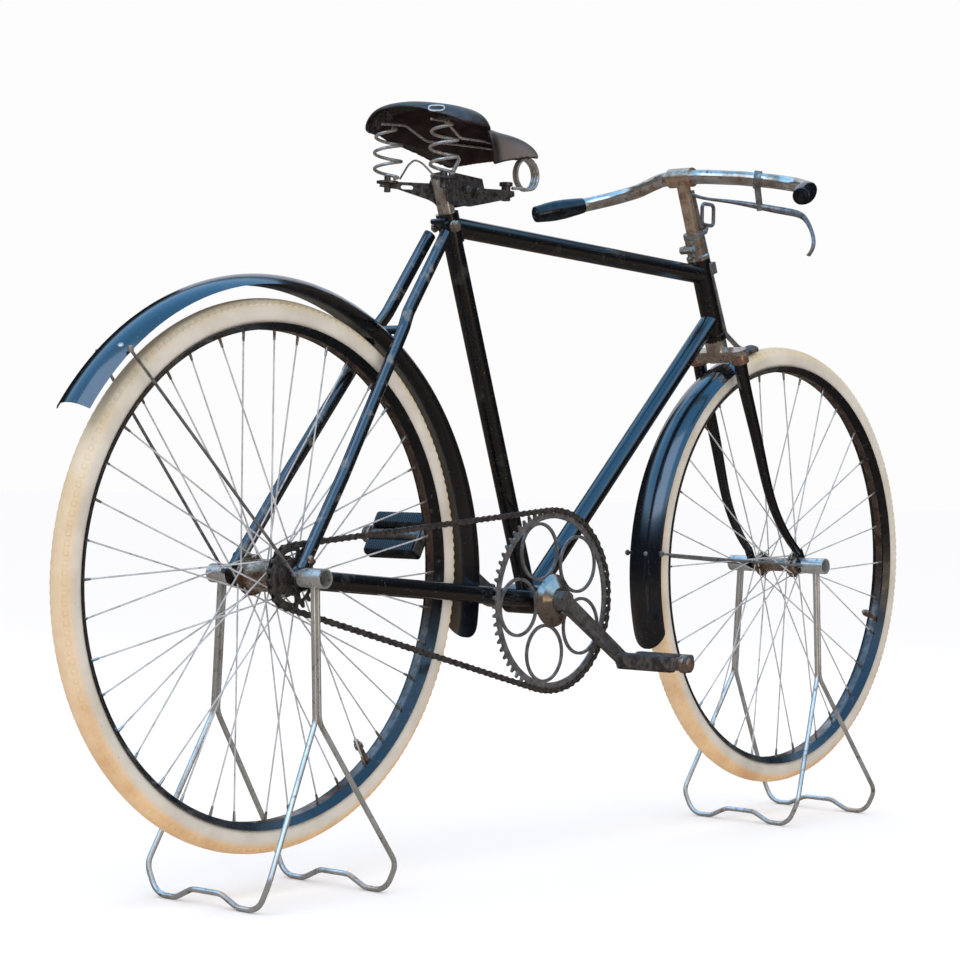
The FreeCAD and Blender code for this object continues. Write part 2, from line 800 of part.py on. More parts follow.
def axle(name, end_spread, end_plate, hub_half, place):
    """A threaded rod with a nut outside each end plate and a cone inside it."""
    inside = "%s - %s / 2" % (end_spread, end_plate)
    outside = "%s + %s / 2" % (end_spread, end_plate)
    nut_end = outside + " + axle_nut_length"
    tip = nut_end + " + axle_end_length"
    right = []
    for reach, radius in ((tip, "0"), (tip, "axle_radius"), (nut_end, "axle_radius"),
                          (nut_end, "axle_nut_radius"), (outside, "axle_nut_radius"),
                          (outside, "axle_radius"), (inside, "axle_radius"), (inside, "axle_cone_radius"),
                          (hub_half[0] + " + bearing_gap", "axle_cone_radius"),
                          (hub_half[0] + " + bearing_gap", "axle_radius")):
        right.append((radius, "-(%s)" % reach))
    left = []
    for reach, radius in ((hub_half[1] + " + bearing_gap", "axle_radius"),
                          (hub_half[1] + " + bearing_gap", "axle_cone_radius"),
                          (inside, "axle_cone_radius"), (inside, "axle_radius"), (outside, "axle_radius"),
                          (outside, "axle_nut_radius"), (nut_end, "axle_nut_radius"),
                          (nut_end, "axle_radius"), (tip, "axle_radius"), (tip, "0")):
        left.append((radius, reach))
    return keep(name, turned(name + "_body", right + left, place, "XY_Plane"))


axle("rear_axle", "rear_end_spread", "rear_end_plate",
     ("chain_line + sprocket_carrier_out", "rear_hub_half + rear_cone_out"), REAR_AXLE)
axle("front_axle", "blade_end_spread", "fork_end_plate", ("front_hub_half", "front_hub_half"), FRONT_AXLE)

# Wheels: tyre, channel rim, hub and laced spokes


def wheel(word, place, hub_corners, flange, spread, count, centre, valve_turn):
    """A tyre, a rim with its valve, a hub, and spokes that cross between flange and rim."""
    tyre = turned(word + "_tyre_body", [
        ("tyre_ring_radius - tyre_radius", "0", "tyre_radius"),
        ("tyre_ring_radius", "-tyre_radius", "tyre_radius"),
        ("tyre_ring_radius + tyre_radius", "0", "tyre_radius"),
        ("tyre_ring_radius", "tyre_radius", "tyre_radius"),
    ], place, "XY_Plane")
    rim = turned(word + "_rim_body", [
        ("rim_inner_radius", "-rim_half_width / 2"),
        ("rim_inner_radius", "rim_half_width / 2"),
        ("rim_outer_radius", "rim_half_width"),
        ("rim_outer_radius", "-rim_half_width"),
    ], place, "XY_Plane")
    keep(word + "_tyre", tyre)
    keep(word + "_rim", cut(word + "_rim", rim, [tyre]))
    hub = keep(word + "_hub", turned(word + "_hub_body", hub_corners, place, "XY_Plane"))
    doc.recompute()
    valve_angle = math.radians(size(valve_turn))
    outward = Vector(math.cos(valve_angle), 0, math.sin(valve_angle))
    valve = Part.makeCylinder(size("valve_radius"), size("valve_length"),
                              centre + outward * size("rim_inner_radius - valve_length"), outward)
    nut_at = centre + outward * size("rim_inner_radius - valve_nut_height - pin_fit")
    nut = Part.makeCylinder(size("valve_nut_radius"), size("valve_nut_height"), nut_at, outward)
    valve_body = solid(word + "_valve_body", valve.fuse(nut))
    keep(word + "_valve", cut(word + "_valve", valve_body, [parts[word + "_rim"]]))
    spokes = []
    hole_ring = size(flange + " - spoke_hole_inset")
    for index in range(count):
        side = 1 if index % 2 else -1
        lean = 1 if (index // 2) % 2 else -1
        rim_angle = 2 * math.pi * index / count
        hub_angle = rim_angle + lean * math.radians(size("spoke_lean"))
        outer = Vector(math.cos(rim_angle), 0, math.sin(rim_angle)) * size("rim_inner_radius - pin_fit")
        outer.y = side * size("spoke_rim_spread")
        inner = Vector(math.cos(hub_angle), 0, math.sin(hub_angle)) * hole_ring
        face = 1 if (index // 4) % 2 else -1
        inner.y = side * (size(spread) + face * size("flange_thickness / 2 + spoke_radius"))
        run = outer - inner
        spokes.append(Part.makeCylinder(size("spoke_radius"), run.Length, centre + inner, run))
    laced = Part.makeCompound([largest(spoke.cut(hub.Shape)) for spoke in spokes])
    keep(word + "_spokes", solid(word + "_spokes_body", laced))


def hub_outline(barrel, flange, spread, half, end_radius):
    thick = "flange_thickness / 2"
    bore = "axle_radius + pin_fit"
    right = [
        (bore, "-(%s)" % half),
        (end_radius, "-(%s)" % half),
        (end_radius, "-(%s + %s)" % (spread, thick)),
        (flange, "-(%s + %s)" % (spread, thick)),
        (flange, "-(%s - %s)" % (spread, thick)),
        (barrel, "-(%s - %s)" % (spread, thick)),
    ]
    left = [(across, up.replace("-(", "(", 1)) for across, up in reversed(right)]
    return right + left


wheel("rear", REAR_AXLE, hub_outline("rear_barrel_radius", "rear_flange_radius", "rear_flange_spread",
                                     "rear_hub_half", "rear_hub_end_radius"),
      "rear_flange_radius", "rear_flange_spread", int(size("rear_spokes_count")), rear_axle_at,
      "rear_valve_turn")
wheel("front", FRONT_AXLE, hub_outline("front_barrel_radius", "front_flange_radius", "front_flange_spread",
                                       "front_hub_half", "front_hub_end_radius"),
      "front_flange_radius", "front_flange_spread", int(size("front_spokes_count")), front_axle_at,
      "front_valve_turn")

# Chain, sprocket and chainring


def pitch_radius(teeth):
    return size("chain_pitch") / 2 / math.sin(math.pi / size(teeth))


def toothed_disc(teeth, centre):
    """A flat disc with teeth round it, its middle plane on the chain line."""
    count = int(size(teeth))
    root = pitch_radius(teeth) - size("chain_pin_radius + soft_gap")
    tip = pitch_radius(teeth) + size("tooth_tip")
    root_share = size("tooth_root_share")
    tip_share = size("tooth_tip_share")
    step = 2 * math.pi / count
    spots = []
    for index in range(count):
        for share, radius in ((-root_share, root), (-tip_share, tip), (tip_share, tip), (root_share, root)):
            angle = (index + 0.5 + share) * step
            spots.append(centre + Vector(radius * math.cos(angle), 0, radius * math.sin(angle)))
    spots.append(spots[0])
    face = Part.Face(Part.makePolygon(spots))
    thickness = size("tooth_thickness")
    face.translate(Vector(0, -size("chain_line") - thickness / 2, 0))
    return face.extrude(Vector(0, thickness, 0))


chain_right = -size("chain_line") - size("tooth_thickness") / 2
chain_left = -size("chain_line") + size("tooth_thickness") / 2
sprocket_shape = toothed_disc("sprocket_teeth", rear_axle_at)
sprocket_shape = sprocket_shape.fuse(disc(size("sprocket_carrier_radius"), rear_axle_at,
                                          -size("chain_line + sprocket_carrier_out"),
                                          -size("rear_hub_half + bearing_gap")))
sprocket_shape = sprocket_shape.cut(disc(size("axle_radius + pin_fit"), rear_axle_at, -80, 0))
windows = disc(size("sprocket_window_outer"), rear_axle_at, -80, 0).cut(
    disc(size("sprocket_window_inner"), rear_axle_at, -80, 0))
for index in range(int(size("sprocket_windows"))):
    arm = Part.makeBox(size("sprocket_window_outer") + 1, 80, 2 * size("sprocket_arm_half"),
                       rear_axle_at - Vector(0, 80, size("sprocket_arm_half")))
    arm.rotate(rear_axle_at, Vector(0, 1, 0), 360 * index / size("sprocket_windows"))
    windows = windows.cut(arm)
keep("rear_sprocket", solid("rear_sprocket_body", sprocket_shape.cut(windows)))

ring_shape = toothed_disc("chainring_teeth", crank_at)
ring_inside = pitch_radius("chainring_teeth") - size("chainring_rim")
ring_shape = ring_shape.cut(disc(ring_inside, crank_at, -80, 0))
hub_disc = disc(size("chainring_hub_radius"), crank_at, chain_right, chain_left)
loop_distance = (ring_inside + size("chainring_hub_radius")) / 2
loops = int(size("chainring_loops"))
for index in range(loops):
    angle = math.radians(size("chainring_turn")) + 2 * math.pi * index / loops
    spot = crank_at + Vector(math.cos(angle), 0, math.sin(angle)) * loop_distance
    loop_radius = (ring_inside - size("chainring_hub_radius")) / 2 + size("chainring_loop_overlap")
    loop = disc(loop_radius, spot, chain_right, chain_left)
    loop = loop.cut(disc(loop_radius - size("chainring_loop_width"), spot, -80, 0))
    ring_shape = ring_shape.fuse(loop)
ring_shape = ring_shape.fuse(hub_disc)
ring_shape = ring_shape.cut(disc(size("crank_axle_radius"), crank_at, -80, 0))
keep("chainring", solid("chainring_body", ring_shape))

bell = turned("chainring_boss_body", [
    ("crank_axle_radius", "-(crank_inner)"),
    ("boss_mouth_radius", "-(crank_inner)"),
    ("boss_shoulder_radius", "-(chain_line + tooth_thickness / 2 + boss_shoulder)"),
    ("boss_radius", "-(chain_line + tooth_thickness / 2 + boss_lip)"),
    ("boss_radius", "-(chain_line + tooth_thickness / 2)"),
    ("crank_axle_radius", "-(chain_line + tooth_thickness / 2)"),
], CRANK_AXLE, "XY_Plane")
keep("chainring_boss", bell)


def belt_face(grow):
    """The area inside a loop that runs round both pitch circles, grown by a distance."""
    front = pitch_radius("chainring_teeth") + grow
    rear = pitch_radius("sprocket_teeth") + grow
    run = crank_at - rear_axle_at
    slope = math.atan2(run.z, run.x)
    spread = math.acos((rear - front) / run.Length)

    def spot(centre, radius, angle):
        return centre + Vector(radius * math.cos(angle), 0, radius * math.sin(angle))

    upper = slope + spread
    lower = slope - spread
    wire = Part.Wire([
        Part.LineSegment(spot(rear_axle_at, rear, upper), spot(crank_at, front, upper)).toShape(),
        Part.Arc(spot(crank_at, front, upper), spot(crank_at, front, slope),
                 spot(crank_at, front, lower)).toShape(),
        Part.LineSegment(spot(crank_at, front, lower), spot(rear_axle_at, rear, lower)).toShape(),
        Part.Arc(spot(rear_axle_at, rear, lower), spot(rear_axle_at, rear, slope + math.pi),
                 spot(rear_axle_at, rear, upper)).toShape(),
    ])
    return Part.Face(wire), (spot(rear_axle_at, rear, upper), spot(crank_at, front, upper)), (
        spot(rear_axle_at, rear, lower), spot(crank_at, front, lower))


half_band = size("chain_band_height") / 2
outer_face = belt_face(half_band)[0]
inner_face = belt_face(-half_band)[0]
band = outer_face.cut(inner_face)
chain_pieces = []
for side in (-1, 1):
    inner_y = size("chain_inner_width") / 2
    plate_shape = band.extrude(Vector(0, size("chain_plate"), 0))
    start_y = inner_y if side > 0 else -inner_y - size("chain_plate")
    plate_shape.translate(Vector(0, start_y - size("chain_line"), 0))
    chain_pieces.append(plate_shape)
whole_width = size("chain_inner_width + 2 * chain_plate")


def past_teeth(teeth):
    """How far along the straight run a pin first clears the teeth."""
    clear = pitch_radius(teeth) + size("tooth_tip + chain_pin_radius + chain_pin_room")
    return math.sqrt(clear ** 2 - pitch_radius(teeth) ** 2)


for start, end in belt_face(0)[1:]:
    run = (end - start).normalize()
    first = past_teeth("sprocket_teeth")
    last = (end - start).Length - past_teeth("chainring_teeth")
    pins = int((last - first) / size("chain_pitch * chain_pin_every"))
    for index in range(pins + 1):
        reach = first + (last - first) * index / pins
        spot = start + run * reach + Vector(0, -size("chain_line") - whole_width / 2, 0)
        chain_pieces.append(Part.makeCylinder(size("chain_pin_radius"), whole_width, spot, Vector(0, 1, 0)))
chain = chain_pieces[0].multiFuse(chain_pieces[1:])
for ahead in (rear_axle_at.x + size("chain_rear_joint"), crank_at.x - size("chain_front_joint")):
    joint_room = Part.makeBox(size("chain_joint"), 2 * whole_width, 4 * pitch_radius("chainring_teeth"),
                              Vector(ahead, -size("chain_line") - whole_width,
                                     crank_at.z - 2 * pitch_radius("chainring_teeth")))
    chain = chain.cut(joint_room)
keep("chain", solid("chain_body", chain))

# Cranks, crank axle and pedals

keep("crank_axle", turned("crank_axle_body", rod_outline(
    "crank_axle_radius", "-(crank_inner + crank_thickness)", "crank_inner + crank_thickness"),
    CRANK_AXLE, "XY_Plane"))


def crank(word, side, turn):
    """A tapering arm with an eye on the axle and the pedal's spindle at its end."""
    tip = crank_at + Vector(math.cos(turn), 0, math.sin(turn)) * size("crank_length")
    inner = side * size("crank_inner")
    outer = side * size("crank_inner + crank_thickness")
    low, high = min(inner, outer), max(inner, outer)
    across = Vector(-math.sin(turn), 0, math.cos(turn))
    root_edge = across * size("crank_arm_root_half")
    tip_edge = across * size("crank_arm_tip_half")
    face = Part.Face(Part.makePolygon([
        crank_at + root_edge, tip + tip_edge, tip - tip_edge, crank_at - root_edge, crank_at + root_edge]))
    face.translate(Vector(0, low, 0))
    arm = face.extrude(Vector(0, high - low, 0))
    arm = arm.fuse(disc(size("crank_root_radius"), crank_at, low, high))
    arm = arm.fuse(disc(size("crank_tip_radius"), tip, low, high))
    arm = arm.cut(disc(size("crank_axle_radius"), crank_at, -120, 120))
    far = side * size("pedal_inner + pedal_length - pedal_spindle_short")
    spindle = disc(size("pedal_spindle_radius"), tip, min(outer, far), max(outer, far))
    keep(word + "_crank", solid(word + "_crank_body", arm.fuse(spindle).removeSplitter()))
    return tip


def pedal(word, side, tip, tilt):
    """A barrel with two end plates, and two rubber blocks between the plates."""
    near = size("pedal_inner")
    far = size("pedal_inner + pedal_length")

    def along(first, second):
        return min(side * first, side * second), max(side * first, side * second)

    barrel = disc(size("pedal_barrel_radius"), tip, *along(near, far))
    barrel = barrel.fuse(disc(size("dust_cap_radius"), tip, *along(far, far + size("dust_cap_length"))))
    reach = size("pedal_plate_half")
    for start in (near, far - size("pedal_plate")):
        low, high = along(start, start + size("pedal_plate"))
        bar = Part.makeBox(2 * reach, high - low, size("pedal_plate_height"),
                           Vector(-reach, low, -size("pedal_plate_height") / 2))
        bar.rotate(Vector(0, 0, 0), Vector(0, 1, 0), tilt)
        bar.translate(tip)
        barrel = barrel.fuse(bar)
    bore_end = far - size("pedal_spindle_short - bearing_gap")
    barrel = barrel.cut(disc(size("pedal_spindle_radius + pin_fit"), tip, *along(near - 10, bore_end)))
    keep(word + "_pedal_cage", solid(word + "_pedal_cage_body", barrel.removeSplitter()))
    blocks = []
    half = size("pedal_block_side") / 2
    for offset in (-1, 1):
        low, high = along(near + size("pedal_plate"), far - size("pedal_plate"))
        block = Part.makeBox(2 * half, high - low, 2 * half,
                             Vector(offset * size("pedal_block_spread") - half, low, -half))
        edges = [edge for edge in block.Edges if abs(edge.tangentAt(edge.FirstParameter).y) > 0.9]
        block = block.makeChamfer(size("pedal_block_chamfer"), edges)
        block.rotate(Vector(0, 0, 0), Vector(0, 1, 0), tilt)
        block.translate(tip)
        block = block.cut(disc(size("pedal_barrel_radius"), tip, *along(near - 5, far + 5)))
        blocks.append(block)
    keep(word + "_pedal_blocks", solid(word + "_pedal_blocks_body", Part.makeCompound(blocks)))


crank_turn = -math.radians(size("crank_angle"))
right_tip = crank("right", -1, crank_turn)
left_tip = crank("left", 1, crank_turn + math.pi)
pedal("right", -1, right_tip, 0)
pedal("left", 1, left_tip, size("left_pedal_turn"))

# Fork crown with the steerer, and the two blades

steerer = turned("steerer_body", [
    ("quill_radius + pin_fit", CROWN_PLATE_BOTTOM),
    ("crown_seat_radius", CROWN_PLATE_BOTTOM),
    ("crown_seat_radius", CROWN_TOP),
    ("steerer_radius", CROWN_TOP),
    ("steerer_radius", COLLAR_TOP + " - collar_lip"),
    ("quill_radius + pin_fit", COLLAR_TOP + " - collar_lip"),
], STEERING)
crown_plate = doc.addObject("Part::Box", "crown_plate")
crown_plate.setExpression("Length", named("crown_depth"))
crown_plate.setExpression("Width", named("2 * blade_spread"))
crown_plate.setExpression("Height", named("crown_plate_height"))
crown_plate.setExpression("Placement", named(
    STEERING + " * placement(vector(-crown_depth / 2; -blade_spread; " + CROWN_PLATE_BOTTOM
    + "); rotation(vector(0; 1; 0); 0))"))
sockets = []
for side in (1, -1):
    socket = doc.addObject("Part::Cylinder", "crown_socket")
    socket.setExpression("Radius", named("crown_depth / 2"))
    socket.setExpression("Height", named("crown_height - crown_shoulder"))
    socket.setExpression("Placement", named(STEERING + " * placement(vector(0; %d * blade_spread; " % side
                                            + CROWN_BOTTOM + "); rotation(vector(0; 1; 0); 0))"))
    sockets.append(socket)
quill_bore = turned("crown_bore", rod_outline(
    "quill_radius + pin_fit", CROWN_PLATE_BOTTOM + " + crown_floor", COLLAR_TOP), STEERING)
crown_shape = joined("fork_crown", [steerer, crown_plate] + sockets)
keep("fork_crown", cut("fork_crown", crown_shape, [quill_bore]))


def blade(side):
    """A tapering oval tube, straight at the top and curving forward to a flat fork end with an eye."""
    offset = size("fork_offset")
    straight = size("blade_straight_to")
    top = size(CROWN_BOTTOM)
    foot = size("fork_end_rise")
    stations = []
    for share in (0, 0.5, 1, 1.25, 1.5, 1.75, 2):
        if share <= 1:
            forward = 0
            up = top + (straight - top) * share
        else:
            forward = offset * size("blade_sweep") * (share - 1) ** size("blade_curl")
            up = straight + (foot - straight) * (share - 1)
        low = (top - up) / top
        left = side * (size("blade_spread") + size("blade_end_spread - blade_spread") * low ** 2)
        long_half = size("blade_top_long") + size("blade_end_long - blade_top_long") * low
        thin_half = size("blade_top_thin") + size("blade_end_thin - blade_top_thin") * low
        stations.append((on_steering(forward, left, up), thin_half, long_half))
    shape = tapered(stations, Vector(0, 1, 0))
    half = size("fork_end_plate / 2")
    middle = front_axle_at + Vector(0, side * size("blade_end_spread"), 0)
    tip = stations[-1][0]
    reach = Vector(tip.x - middle.x, 0, tip.z - middle.z)
    square = Vector(reach.z, 0, -reach.x).normalize() * size("fork_end_half_width")
    reach = reach * size("fork_end_overlap")
    lug = disc(size("fork_end_radius"), middle, -half, half)
    arm = Part.Face(Part.makePolygon([
        middle + square, middle + reach + square, middle + reach - square, middle - square,
        middle + square])).extrude(Vector(0, 2 * half, 0))
    arm.translate(Vector(0, -half, 0))
    eye_at = middle - Vector(size("fork_eye_behind"), 0, 0)
    eye = disc(size("fork_eye_radius"), eye_at, -half, half)
    tab = Part.makeBox(size("fork_eye_behind"), 2 * half, 2 * size("fork_eye_radius"),
                       eye_at - Vector(0, half, size("fork_eye_radius")))
    shape = shape.cut(disc(size("stand_socket_radius + bearing_gap"), front_axle_at, -120, 120))
    shape = shape.multiFuse([lug, arm, eye, tab])
    return largest(shape.cut(disc(size("axle_radius + pin_fit"), middle, -20, 20)).removeSplitter())


blades = []
for word, side in (("left", 1), ("right", -1)):
    name = word + "_fork_blade"
    blades.append(keep(name, cut(name, solid(name + "_body", blade(side)), [parts["fork_crown"]])))

# Head collar with its pinch bolt, stem, handlebar and grips

collar_turned = turned("head_collar_turned", [
    ("steerer_radius", HEAD_TOP + " + bearing_gap"),
    ("collar_flange", HEAD_TOP + " + bearing_gap"),
    ("collar_flange", HEAD_TOP + " + collar_flange_height"),
    ("collar_radius", HEAD_TOP + " + collar_flange_height + collar_slope"),
    ("collar_radius", COLLAR_TOP),
    ("quill_radius", COLLAR_TOP),
    ("quill_radius", COLLAR_TOP + " - collar_lip"),
    ("steerer_radius", COLLAR_TOP + " - collar_lip"),
], STEERING)
collar_bolt = doc.addObject("Part::Prism", "collar_bolt")
collar_bolt.Polygon = 6
collar_bolt.setExpression("Circumradius", named("collar_bolt_radius"))
collar_bolt.setExpression("Height", named("2 * collar_bolt_half"))
collar_bolt.setExpression("Placement", named(
    STEERING + " * placement(vector(-collar_bolt_behind; collar_bolt_half; " + HEAD_TOP
    + " + collar_bolt_up); rotation(vector(1; 0; 0); 90))"))
collar_ear = doc.addObject("Part::Box", "collar_ear")
collar_ear.setExpression("Length", named("collar_bolt_behind"))
collar_ear.setExpression("Width", named("2 * collar_ear_half"))
collar_ear.setExpression("Height", named("2 * collar_bolt_radius"))
collar_ear.setExpression("Placement", named(
    STEERING + " * placement(vector(-collar_bolt_behind; -collar_ear_half; " + HEAD_TOP
    + " + collar_bolt_up - collar_bolt_radius); rotation(vector(0; 1; 0); 0))"))
collar_room = turned("collar_room", rod_outline("steerer_radius", HEAD_TOP, COLLAR_TOP + " - collar_lip"),
                     STEERING)
collar_whole = joined("head_collar", [collar_turned, collar_bolt, collar_ear])
keep("head_collar", cut("head_collar", collar_whole, [collar_room]))

bar_centre = on_steering(0, 0, size(BAR_HEIGHT))
stem_quill = turned("stem_quill", rod_outline("quill_radius", COLLAR_TOP + " - collar_height - quill_inside",
                                              BAR_HEIGHT), STEERING)
sleeve_place = STEERING + " * placement(vector(0; 0; " + BAR_HEIGHT + "); rotation(vector(0; 1; 0); 0))"
stem_sleeve = turned("stem_sleeve", rod_outline("stem_sleeve_radius", "-stem_sleeve_half",
                                                "stem_sleeve_half"), sleeve_place, "XY_Plane")

bar_side = [bar_centre + Vector(*spot) for spot in BENDS["bar"]]
bar_spots = mirrored(bar_side)[::-1] + bar_side
handlebar_shape = pipe(bar_spots, size("bar_bend"), size("bar_radius"))
handlebar = keep("handlebar", solid("handlebar_body", handlebar_shape))
keep("stem", cut("stem", joined("stem", [stem_quill, stem_sleeve]), [handlebar]))

for word, ends in (("left", bar_side[-2:]), ("right", mirrored(bar_side[-2:]))):
    before, end = ends
    grip = turned(word + "_grip_turned", [
        ("0", "-grip_end_wall"),
        ("grip_end_radius - grip_edge", "-grip_end_wall"),
        ("grip_end_radius", "grip_edge - grip_end_wall"),
        ("grip_radius - grip_edge / 2", "grip_length * 0.22"),
        ("grip_radius", "grip_length * 0.38"),
        ("grip_radius - grip_edge / 3", "grip_length * 0.58"),
        ("grip_neck_radius", "grip_length * 0.85"),
        ("grip_inner_radius", "grip_length - grip_end_wall"),
        ("0", "grip_length - grip_end_wall"),
    ])
    grip.Placement = between(end, before)
    keep(word + "_grip", cut(word + "_grip", grip, [handlebar]))

# Lamp bracket

ring = turned("lamp_ring", tube("quill_radius", "lamp_ring_radius", COLLAR_TOP,
                                COLLAR_TOP + " + lamp_ring_height"), STEERING)
loop_width = size("lamp_loop_width") / 2
loop_height = size("lamp_loop_height")
loop_base = on_steering(size("lamp_loop_ahead"), 0, size(COLLAR_TOP + " + lamp_ring_height"))
loop_spots = []
for across, up in ((0, 0), (1, 0), (1, 1), (-1, 1), (-1, 0), (0, 0)):
    loop_spots.append(loop_base + Vector(across * loop_width, 0, up * loop_height))
lamp_loop = pipe(loop_spots, size("lamp_loop_bend"), size("lamp_loop_rod"))
lamp_arms = []
for side in (1, -1):
    arm_height = size(COLLAR_TOP + " + lamp_arm_up")
    arm_out = side * size("lamp_arm_spread")
    arm_spots = [on_steering(0, arm_out, arm_height),
                 on_steering(size("lamp_arm_straight"), arm_out, arm_height),
                 on_steering(size("lamp_loop_ahead - lamp_arm_short"), side * size("lamp_arm_end_spread"),
                             size(COLLAR_TOP + " + lamp_arm_end_up"))]
    lamp_arms.append(pipe(arm_spots, size("lamp_arm_bend"), size("lamp_arm_rod")))
lamp_shape = joined("lamp_bracket", [ring, solid("lamp_loop", lamp_loop)]
                    + [solid("lamp_arm", arm) for arm in lamp_arms])
lamp_room = turned("lamp_room", rod_outline("quill_radius", COLLAR_TOP + " - 5", COLLAR_TOP + " + 40"),
                   STEERING)
keep("lamp_bracket", cut("lamp_bracket", lamp_shape, [lamp_room]))

# Plunger rod with its guide, the spoon shoe over the tyre, and the lever

rod_top = on_steering(size("rod_top_ahead"), 0, size(BAR_HEIGHT + " - rod_below_bar"))
rod_bottom = on_steering(size("rod_bottom_ahead"), 0, size(CROWN_TOP + " + rod_above_crown"))


def over_front_tyre(angle, gap):
    """A place above the front tyre's tread, at an angle above forward."""
    reach = size("tyre_ring_radius + tyre_radius") + gap
    turn = math.radians(angle)
    return front_axle_at + Vector(reach * math.cos(turn), 0, reach * math.sin(turn))


shoe_middle = size("(shoe_start + shoe_end) / 2")
shoe_top = over_front_tyre(shoe_middle, size("shoe_gap + shoe_thickness / 2"))
foot = over_front_tyre(shoe_middle + size("rod_foot_turn"), size("shoe_gap + shoe_thickness + rod_foot_up"))
brake_rod = pipe([rod_top, rod_bottom, foot, shoe_top], size("rod_bend"), size("brake_rod_radius"))
guide_at = rod_top + (rod_bottom - rod_top) * size("rod_guide_share")
run = (rod_bottom - rod_top).normalize()
guide = Part.makeCylinder(size("rod_guide_radius"), size("rod_guide_height"),
                          guide_at - run * size("rod_guide_height / 2"), run)
pad_room = Part.makeCylinder(size("head_tube_radius + bearing_gap"), size("head_tube_bottom"),
                             steering_foot + steering_up * size("head_tube_bottom / 2"), steering_up)
guide_half = size("rod_guide_radius + rod_guide_wall")
bridge_box = Part.makeBox(size("rod_guide_length"), 2 * guide_half, size("rod_guide_height"))
bridge_corner = guide_at - steering_forward * size("rod_guide_behind") - Vector(0, guide_half, 0)
bridge_box.Placement = FreeCAD.Placement(
    bridge_corner - steering_up * size("rod_guide_height / 2"),
    FreeCAD.Rotation(Vector(0, 1, 0), -size("head_lean")))
guide_pad = bridge_box.cut(pad_room)
rod_with_guide = brake_rod.multiFuse([guide, largest(guide_pad)])
brake_rod_piece = keep("brake_rod", solid("brake_rod_body", rod_with_guide))

inner = size("tyre_ring_radius + tyre_radius + shoe_gap")
outer = inner + size("shoe_thickness")
half = size("shoe_half_width")
dip = size("tyre_radius + shoe_gap") - math.sqrt(size("tyre_radius + shoe_gap") ** 2 - half ** 2)
shoe_face = Part.Face(Part.Wire([
    Part.Arc(Vector(inner - dip, -half, 0), Vector(inner, 0, 0), Vector(inner - dip, half, 0)).toShape(),
    Part.LineSegment(Vector(inner - dip, half, 0), Vector(outer - dip, half, 0)).toShape(),
    Part.Arc(Vector(outer - dip, half, 0), Vector(outer, 0, 0), Vector(outer - dip, -half, 0)).toShape(),
    Part.LineSegment(Vector(outer - dip, -half, 0), Vector(inner - dip, -half, 0)).toShape(),
]))
shoe_face.rotate(Vector(0, 0, 0), Vector(0, 1, 0), -size("shoe_start"))
shoe = shoe_face.revolve(Vector(0, 0, 0), Vector(0, -1, 0), size("shoe_end - shoe_start"))
shoe.translate(front_axle_at)
keep("brake_shoe", cut("brake_shoe", solid("brake_shoe_body", shoe), [brake_rod_piece]))

lever_stations = []
for ahead, out, up, half_wide, half_thick in LEVER:
    lever_stations.append((bar_centre + Vector(ahead, out, up), half_wide, half_thick))
doc.recompute()
lever = tapered(lever_stations, Vector(1, 0, 0)).cut(rod_with_guide).cut(parts["stem"].Shape)
clamp_at = (bar_side[1] + bar_side[2]) / 2
clamp_at.y = -clamp_at.y
clamp_run = (bar_side[2] - bar_side[1]).normalize()
clamp_run.y = -clamp_run.y
width = size("lever_clamp_width")
clamp = Part.makeCylinder(size("lever_clamp_radius"), width, clamp_at - clamp_run * (width / 2), clamp_run)
clamp = clamp.cut(handlebar_shape)
post_top = clamp_at - Vector(0, 0, size("lever_clamp_radius - 2"))
lever_run = lever_stations[3][0] - lever_stations[2][0]
post_foot = lever_stations[2][0] + lever_run * size("lever_post_share")
post_run = post_top - post_foot
post_through = size("lever_post_through")
post_start = post_foot - (post_top - post_foot).normalize() * post_through
post = Part.makeCylinder(size("lever_post_radius"), post_run.Length + post_through, post_start, post_run)
keep("brake_lever", solid("brake_lever_body", lever.multiFuse([clamp, post.cut(handlebar_shape)])))

# Mudguards and their stays


def guard(centre, radius, start, end):
    """A thin arched strip swept round a centre between two angles above forward."""
    half = size("guard_half_width")
    depth = size("guard_depth")
    sheet_thickness = size("guard_sheet")
    outer = [Vector(radius - depth, -half, 0), Vector(radius, 0, 0), Vector(radius - depth, half, 0)]
    inner = [Vector(radius - depth, -half + sheet_thickness, 0), Vector(radius - sheet_thickness, 0, 0),
             Vector(radius - depth, half - sheet_thickness, 0)]
    face = Part.Face(Part.Wire([
        Part.Arc(outer[0], outer[1], outer[2]).toShape(),
        Part.LineSegment(outer[2], inner[2]).toShape(),
        Part.Arc(inner[2], inner[1], inner[0]).toShape(),
        Part.LineSegment(inner[0], outer[0]).toShape(),
    ]))
    face.rotate(Vector(0, 0, 0), Vector(0, 1, 0), -start)
    shape = face.revolve(Vector(0, 0, 0), Vector(0, -1, 0), end - start)
    shape.translate(centre)
    return shape


def tongue_room(centre, radius, angle, way):
    """What is cut from a guard to leave a round tongue; way is 1 at the end with the larger angle."""
    half = size("guard_half_width")
    turn = math.radians(angle) - way * half / radius
    outward = Vector(math.cos(turn), 0, math.sin(turn))
    along = Vector(-math.sin(turn), 0, math.cos(turn)) * way
    room = Part.makeBox(2 * half, 4 * half, 2 * half, Vector(0, -2 * half, -half))
    room = room.cut(Part.makeCylinder(half + size("guard_tongue_room"), 4 * half, Vector(0, 0, -2 * half)))
    room.Placement = FreeCAD.Placement(
        centre + outward * radius, FreeCAD.Rotation(along, outward.cross(along), outward, "ZXY"))
    return room


